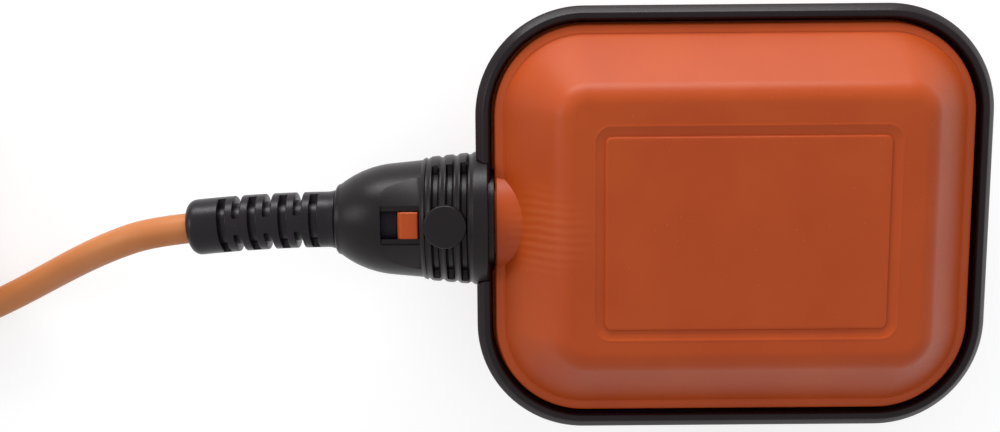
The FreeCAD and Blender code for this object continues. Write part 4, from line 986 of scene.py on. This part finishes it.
    def pad(self) -> Surface:
        """Bare round pad: a low disc with a rounded rim, standing on the skirt.

        Returns:
            The closed surface.
        """
        turn = full_turn(96)
        wide, top, bend = self.pad_radius, self.pad_top, self.pad_round
        rings = [(wide, self.pad_foot), (wide, top - bend)]
        rings += [(wide - bend * (1 - math.cos(t)), top - bend * (1 - math.sin(t)))
                  for t in np.linspace(0.2, math.pi / 2, 5)]
        rings.append((wide - 0.8, top))
        return Surface(np.stack([
            np.stack([self.pad_x + radius * np.cos(turn), radius * np.sin(turn),
                      np.full_like(turn, AXIS_Z + height)], axis=-1) for radius, height in rings]))

    def build(self, name: str) -> Piece:
        """Make the cap's moulding.

        Args:
            name: name of the piece.

        Returns:
            The piece.
        """
        skirt_x, skirt_radii = self.skirt()
        rest = np.array([*self.dome(), *self.hollow])
        along = np.concatenate([skirt_x, rest[:, 0]])
        radii = np.concatenate([skirt_radii, np.repeat(rest[:, 1:], self.around, axis=1)])
        piece = put_in_scene(name, turned(along, radii, self.around, closed_ends=True))
        for side in (-1, 1):
            for face in (-1, 1):
                outline = [(across * side, AXIS_Z + rise * face) for across, rise in self.flat]
                cut = prism(outline, self.flat_end, self.skirt_end - 0.02, "X")
                combine(piece, cut, Join.CUT)
        low, high = self.window_reach
        # the narrower step leaves black ledges over the neck: painted shade for the deep shade in
        # the window
        for half, floor in self.window_steps:
            corners = [(low, -half), (high, -half), (high, half), (low, half)]
            for start, end in ((floor, self.window_height), (-self.window_height, -floor)):
                combine(piece, prism(corners, AXIS_Z + start, AXIS_Z + end, "Z"), Join.CUT)
        combine(piece, self.pad(), Join.ADD)
        tidy_faces(piece)
        shade(piece, 38.0)
        return piece


@dataclass
class CableBoot:
    """The slotted rubber boot, bent on a gentle arc, with its neck and inner flange."""

    tip: float = -81.8
    length: float = 31.0
    bend: float = 299.3
    radius: float = 5.85
    end_round: float = 2.0
    bore: float = 3.3
    neck: float = 5.0
    flange: float = 7.2
    first_slot: float = 4.4
    half_pitch: float = 3.15
    slots: int = 7
    slot_floor: float = 4.25
    slot_rings: tuple[float, ...] = (0.5, 0.69, 0.72, 0.76, 0.82, 0.9, 1.0, 1.2)
    slot_depths: tuple[Pair, ...] = ((0.0, 1.0), (0.69, 1.0), (0.72, 0.5), (0.76, 0.13),
                                     (0.82, 0.05), (0.9, 0.012), (1.0, 0.0))
    bridge_half: float = 1.7
    bridge_fade: float = 0.22
    around: int = 192

    def on_arc(self, reach: Array, across: Array, rise: Array) -> Array:
        """Points beside the boot's axis, which bends by an even arc towards -Y.

        The axis at a reach s is (tip - R sin(s / R), R (cos(s / R) - 1)), and across is
        measured square to it on the level.

        Args:
            reach: distance along the axis from the dome.
            across: distance to the side.
            rise: height above the axis.

        Returns:
            The points.
        """
        turn = np.maximum(reach, 0.0) / self.bend
        along_x = self.tip - self.bend * np.sin(turn) - np.minimum(reach, 0.0)
        along_y = self.bend * (np.cos(turn) - 1)
        return np.stack([along_x - across * np.sin(turn), along_y + across * np.cos(turn),
                         AXIS_Z + rise], axis=-1)

    def plain_rows(self, centres: Sequence[float]) -> list[Pair]:
        """Outside of the boot before its slots are cut: flange, neck, bead, sleeve and end.

        Args:
            centres: reach of each slot's middle, beside which the sleeve has close rings.

        Returns:
            Reach and radius of each ring.
        """
        wide, end, bend = self.radius, self.length, self.end_round
        rows = [(-5.4, self.bore), (-5.4, 6.9), (-5.25, self.flange), (-3.15, self.flange),
                (-3.0, 7.05), (-3.0, self.neck), (0.06, self.neck), (0.1, wide + 0.15),
                (0.2, wide + 0.3), (0.5, wide + 0.26), (1.1, wide + 0.08), (1.8, wide)]
        offsets = [-offset for offset in reversed(self.slot_rings)] + list(self.slot_rings)
        rows += [(centre + offset, wide) for centre in centres for offset in offsets]
        rows += [(reach, wide) for reach in (25.3, 27.0, end - bend - 0.4)]
        rows += [(end - bend * (1 - math.sin(turn)), wide - bend * (1 - math.cos(turn)))
                 for turn in np.linspace(0, math.pi / 2, 9)]
        return rows + [(end, self.bore + 0.3), (end - 0.3, self.bore)]

    def build(self, name: str) -> Piece:
        """Make the boot.

        Inside a slot the radius falls to the slot's floor, except at two bridges, which lie
        across Y and Z by turns.

        Args:
            name: name of the piece.

        Returns:
            The piece.
        """
        turn = full_turn(self.around)
        centres = [self.first_slot + self.half_pitch * index for index in range(self.slots)]
        reach, plain = np.array(self.plain_rows(centres)).T
        radius = np.repeat(plain[:, None], self.around, axis=1)
        corners = np.abs(np.stack([radius * np.sin(turn), radius * np.cos(turn)]))
        outside = (plain > 5.5)[:, None]
        for index, centre in enumerate(centres):
            depth = np.interp(np.abs(reach - centre), *np.array(self.slot_depths).T)[:, None]
            share = np.clip((corners[index % 2] - self.bridge_half) / self.bridge_fade, 0, 1)
            radius = radius - depth * share * (radius - self.slot_floor) * outside
        inside = np.linspace(self.length - 2.5, 1.0, 12)
        reach = np.concatenate([reach, inside])[:, None]
        radius = np.concatenate([radius, np.full((len(inside), self.around), self.bore)])
        grid = self.on_arc(np.broadcast_to(reach, radius.shape), radius * np.cos(turn),
                           radius * np.sin(turn))
        piece = put_in_scene(name, Surface(grid, closed_ends=True))
        shade(piece, 40.0)
        return piece


# ---------------------------------------------------------------- the cable


@dataclass
class CableLine:
    """The free cable: down from the boot, out of the picture and into a put-away coil."""

    radius: float = 3.2
    length: float = 1.868
    route: tuple[Triple, ...] = (
        (-113.64, -1.70, 20.0), (-121.59, -2.55, 20.0), (-129.8, -5.3, 18.0),
        (-138.3, -9.0, 13.9), (-147.0, -13.3, 9.0), (-156.0, -17.9, 5.4), (-165.6, -22.4, 3.55),
        (-176.0, -26.6, 3.2), (-187.4, -30.8, 3.2))
    coil_middle: Pair = (-211.0, 4.9)
    coil_radius: float = 41.4
    coil_end_radius: float = 28.6
    entry_bearing: float = -72.0
    sweep: float = 2878.0
    points_per_turn: int = 16
    slip: float = 90.0
    moves: tuple[Triple, ...] = (
        (270, -6.4, 0.0), (630, -6.4, 0.0), (960, 0.0, 6.4), (1290, 6.4, 0.0), (1650, 6.4, 0.0),
        (1980, 0.0, 6.4), (2310, -6.4, 0.0), (2670, -6.4, 0.0))

    def winding(self) -> Array:
        """Control points of the coil: three layers of neat turns.

        The cable keeps to one turn's circle and slips to the next within a quarter turn:
        inwards on the floor, up, outwards on the second layer, up, and inwards again. Each
        move is the angle at which it starts, how far it goes out and how far up. The circles
        are a little wider than the turns, because the spline runs inside its points by
        (6 + 2 cos(step)) / 8.

        Returns:
            The points in millimetres.
        """
        step = 360.0 / self.points_per_turn
        progress = np.append(np.arange(0.0, self.sweep - step * 0.6, step), self.sweep)
        distance = np.full_like(progress, self.coil_radius)
        height = np.full_like(progress, self.radius)
        for start, outward, lift in self.moves:
            share = np.clip((progress - start) / self.slip, 0, 1)
            share = 0.5 - 0.5 * np.cos(math.pi * share)
            distance = distance + outward * share
            height = height + lift * share
        distance = distance * 8 / (6 + 2 * math.cos(math.radians(step)))
        distance[-1] = self.coil_end_radius
        bearing = np.radians(self.entry_bearing - progress)
        return np.stack([self.coil_middle[0] + distance * np.cos(bearing),
                         self.coil_middle[1] + distance * np.sin(bearing), height], axis=-1)

    def build(self, name: str, wires: Sequence[str]) -> Piece:
        """Args:
            name: name of the piece.
            wires: the stripped wires at its far end; not used.

        Returns:
            The piece.
        """
        points = np.concatenate([np.array(self.route), self.winding()]) * MM
        curve = bpy.data.curves.new(name, "CURVE")
        curve.dimensions = "3D"
        line = curve.splines.new("NURBS")
        line.points.add(len(points) - 1)
        line.points.foreach_set("co", np.insert(points, 3, 1.0, axis=1).ravel())
        line.order_u = 3
        line.use_endpoint_u = True
        line.resolution_u = 5
        line.use_smooth = True
        curve.bevel_depth = self.radius * MM
        curve.bevel_resolution = 6
        curve.use_fill_caps = True
        piece = bpy.data.objects.new(name, curve)
        bpy.context.scene.collection.objects.link(piece)
        return piece


# ---------------------------------------------------------------- finishes by piece

ORANGE = MouldedFinish("float_orange", (180, 72, 18), (173, 66, 15), (194, 94, 46), (0.36, 0.48),
                       0.55, 0.010, shine=0.27, flow_gate=(-0.0375, -0.001, 0.0335))
FRAME_BLACK = MouldedFinish("frame_black", (20, 8, 13), (27, 13, 18), (48, 36, 42), (0.24, 0.36),
                            0.5, 0.008, shine=0.2)
CAP_BLACK = MouldedFinish("cap_black", (14, 6, 11), (20, 10, 16), (50, 40, 46), (0.26, 0.4),
                          0.45, 0.014, shine=0.22)
BOOT_RUBBER = MouldedFinish("boot_rubber", (14, 8, 15), (21, 13, 21), (50, 42, 48), (0.24, 0.38),
                            0.6, 0.012, shine=0.24)
SHEATH = MouldedFinish("cable_sheath", (190, 115, 62), (197, 123, 70), (208, 145, 94),
                       (0.38, 0.52), 0.5, 0.014, shine=0.3)
WASHER = MouldedFinish("washer_nylon", (214, 208, 194), (200, 193, 178), (226, 222, 212))
GROMMET = MouldedFinish("grommet_rubber", (20, 15, 28), (27, 22, 36), (48, 44, 56), (0.5, 0.66),
                        0.4, 0.02, shine=0.2)
CARRIER = MouldedFinish("carrier_plastic", (52, 54, 57), (60, 62, 65), (84, 86, 88), (0.4, 0.55),
                        0.4, 0.015)
ROCKER = MouldedFinish("rocker_acetal", (226, 222, 210), (214, 209, 195), (236, 233, 225),
                       (0.28, 0.42), 0.3, 0.008)
LID = MouldedFinish("lid_clear", (214, 222, 222), (206, 214, 214), (232, 236, 236), (0.12, 0.22),
                    0.3, 0.004, through=0.6)
SWITCH_CASE = MouldedFinish("switch_case", (38, 38, 40), (46, 46, 48), (72, 72, 74), (0.32, 0.48),
                            0.3, 0.012)
SWITCH_COVER = MouldedFinish("switch_cover", (58, 50, 44), (66, 57, 50), (90, 80, 72),
                             (0.32, 0.48), 0.3, 0.012)
PLUNGER = MouldedFinish("plunger_red", (168, 40, 34), (152, 34, 30), (190, 84, 76), (0.28, 0.4),
                        0.3, 0.006)
BROWN = MouldedFinish("core_brown", (104, 62, 40), (92, 54, 35), (130, 92, 70), (0.3, 0.44),
                      0.3, 0.008)
BLUE = MouldedFinish("core_blue", (38, 88, 150), (32, 78, 138), (80, 122, 170), (0.3, 0.44),
                     0.3, 0.008)
BLACK = MouldedFinish("core_black", (30, 30, 32), (38, 38, 40), (60, 60, 62), (0.3, 0.44),
                      0.3, 0.008)
SCREW_STEEL = MetalFinish("screw_steel", (196, 196, 192), (150, 148, 140))
PIN_STEEL = MetalFinish("pin_steel", (204, 204, 202), (166, 164, 160), (0.12, 0.24))
BALL_STEEL = MetalFinish("ball_steel", (214, 214, 214), (186, 186, 184), (0.05, 0.12))
BRASS = MetalFinish("terminal_brass", (212, 176, 104), (158, 122, 66), (0.22, 0.38))
COPPER = MetalFinish("bare_copper", (216, 138, 96), (150, 86, 56), (0.24, 0.42))

NODE_FINISHES: dict[str, MouldedFinish | MetalFinish] = {
    "thrust_washer": WASHER, "cable_grommet": GROMMET, "mechanism_carrier": CARRIER,
    "cable_clamp": CARRIER, "carrier_screws": SCREW_STEEL, "clamp_screws": SCREW_STEEL,
    "switch_screws": SCREW_STEEL, "pivot_pin": PIN_STEEL, "rocker": ROCKER, "rocker_lid": LID,
    "steel_ball": BALL_STEEL, "switch_case": SWITCH_CASE, "switch_cover": SWITCH_COVER,
    "switch_plunger": PLUNGER, "common_terminal": BRASS, "open_terminal": BRASS,
    "closed_terminal": BRASS, "cable_in_gland": SHEATH, "brown_wire": BROWN, "blue_wire": BLUE,
    "black_wire": BLACK, "brown_wire_end": BROWN, "blue_wire_end": BLUE,
    "black_wire_end": BLACK, "copper_ends": COPPER,
}


# ---------------------------------------------------------------- the picture


@dataclass
class Studio:
    """Camera, lamps, pale floor and surroundings."""

    camera_place: Triple = (-0.0471, 0.0301, 0.2460)
    lens: float = 38.99
    sensor: float = 36.0
    turns: Triple = (-7.49, 0.14, -0.49)
    aim: Triple = (0.0, 0.0, 0.02)
    soft_light: Triple = (0.61, 0.61, 0.62)
    floor_half: float = 9000.0
    floor_span: Pair = (-2.0, -0.02)
    floor_grey: float = 0.5
    floor_glow: float = 0.65

    def add_camera(self) -> None:
        """Place the camera as in the photograph: nearly straight above, with +Y at the top."""
        data = bpy.data.cameras.new("camera")
        data.lens, data.sensor_width = self.lens, self.sensor
        data.clip_start, data.clip_end = 0.01, 20.0
        camera = bpy.data.objects.new("camera", data)
        about_x, about_y, about_z = (math.radians(turn) for turn in self.turns)
        tilt = (Matrix.Rotation(about_y, 4, "Y") @ Matrix.Rotation(about_x, 4, "X")
                @ Matrix.Rotation(about_z, 4, "Z"))
        camera.matrix_world = Matrix.Translation(Vector(self.camera_place)) @ tilt
        bpy.context.scene.collection.objects.link(camera)
        bpy.context.scene.camera = camera

    def add_lamp(self, name: str, place: Triple, size: Pair, power: float) -> None:
        """Add a soft rectangular lamp that faces the float.

        Args:
            name: its name.
            place: where it stands, in metres.
            size: its two sides, in metres.
            power: its power, in watts.
        """
        data = bpy.data.lights.new(name, "AREA")
        data.shape = "RECTANGLE"
        data.size, data.size_y = size
        data.energy = power
        lamp = bpy.data.objects.new(name, data)
        heading = Vector(self.aim) - Vector(place)
        lamp.matrix_world = (Matrix.Translation(Vector(place))
                             @ heading.to_track_quat("-Z", "Y").to_matrix().to_4x4())
        bpy.context.scene.collection.objects.link(lamp)

    def white_where_seen(self, bench: NodeBench) -> Socket:
        """Number that is 1 for the camera, reflections and clear parts, and 0 for other light."""
        rays = bench.add("ShaderNodeLightPath").outputs
        seen = bench.number("MAXIMUM", rays["Is Camera Ray"], rays["Is Glossy Ray"])
        return bench.number("MAXIMUM", seen, rays["Is Transmission Ray"])

    def add_surroundings(self) -> None:
        """White world where it is seen, soft grey light elsewhere, and a pale floor."""
        world = bpy.data.worlds.new("studio")
        bpy.context.scene.world = world
        world.use_nodes = True
        bench = NodeBench(world.node_tree)
        bench.fill(world.node_tree.nodes["Background"], {"Color": bench.blend(
            self.white_where_seen(bench), (*self.soft_light, 1.0), (1.0, 1.0, 1.0, 1.0))})
        half = self.floor_half
        floor = put_in_scene("studio_floor", prism(
            [(-half, -half), (half, -half), (half, half), (-half, half)], *self.floor_span, "Z"))
        material, bench, shader = new_material("studio_floor")
        bench.fill(shader, {
            "Base Color": (self.floor_grey, self.floor_grey, self.floor_grey, 1.0),
            "Roughness": 1.0, "Specular IOR Level": 0.0, "Emission Color": (1.0, 1.0, 1.0, 1.0),
            "Emission Strength": bench.number("MULTIPLY", self.white_where_seen(bench),
                                              self.floor_glow)})
        floor.data.materials.append(material)

    def build(self) -> None:
        """Set up the whole picture."""
        self.add_camera()
        self.add_surroundings()
        self.add_lamp("key_lamp", (-0.08, 0.56, 0.13), (0.62, 0.2), 3.5)
        self.add_lamp("side_lamp", (-0.9, 0.25, 0.5), (0.4, 0.4), 1.6)
        scene = bpy.context.scene
        scene.view_settings.view_transform = "Standard"


# ---------------------------------------------------------------- putting it together


class FloatSwitch:
    """The whole object: makes its pieces, dresses them and ties them to the frame."""

    def __init__(self) -> None:
        """Make the shared groups and keep the materials that are made."""
        self.shelf = GroupShelf()
        self.materials: dict[str, Material] = {}

    def material(self, finish: MouldedFinish | MetalFinish) -> Material:
        """Material of a finish, made once."""
        if finish.name not in self.materials:
            self.materials[finish.name] = finish.make(self.shelf)
        return self.materials[finish.name]

    def settle(self, piece: Piece, finish: MouldedFinish, slot: str, *nodes: str) -> None:
        """Dress a made piece and tie it to the frame.

        Args:
            piece: the piece.
            finish: its finish.
            slot: the record's material slot; not used.
            nodes: the model's nodes that it stands for.
        """
        piece.data.materials.clear()
        piece.data.materials.append(self.material(finish))
        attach(piece, ROOT_BODY)
        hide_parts(*nodes)
        LOG.info("made %s", piece.name)

    def dress_nodes(self) -> None:
        """Give every node that keeps its own shape its finish."""
        for name, finish in NODE_FINISHES.items():
            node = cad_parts[name]
            if not node.material_slots:
                LOG.warning("%s has no material slot", name)
            for place in node.material_slots:
                place.link = "OBJECT"
                place.material = self.material(finish)
            LOG.info("dressed %s", name)

    def build(self) -> None:
        """Make every piece in order."""
        wires = ("brown_wire_end", "blue_wire_end", "black_wire_end", "copper_ends")
        cable = CableLine().build("cable_line", wires)
        self.settle(cable, SHEATH, "cable_sheath", "cable", "cable_coil")
        front = Shell().build("front_moulding", Side.FRONT)
        self.settle(front, ORANGE, "float_shell", "front_shell")
        back = Shell().build("back_moulding", Side.BACK)
        self.settle(back, ORANGE, "float_shell", "back_shell")
        seal = SealFrame().build("frame_moulding")
        self.settle(seal, FRAME_BLACK, "seal_frame", "seal_frame")
        cap = GlandCap().build("cap_moulding")
        self.settle(cap, CAP_BLACK, "cap_plastic", "gland_cap")
        boot = CableBoot().build("boot_moulding")
        self.settle(boot, BOOT_RUBBER, "boot_rubber", "cable_boot")
        self.dress_nodes()


def main() -> None:
    """Build the picture and the object."""
    logging.basicConfig(level=logging.INFO, format="%(name)s: %(message)s")
    Studio().build()
    FloatSwitch().build()


if __name__ == "__main__":
    main()
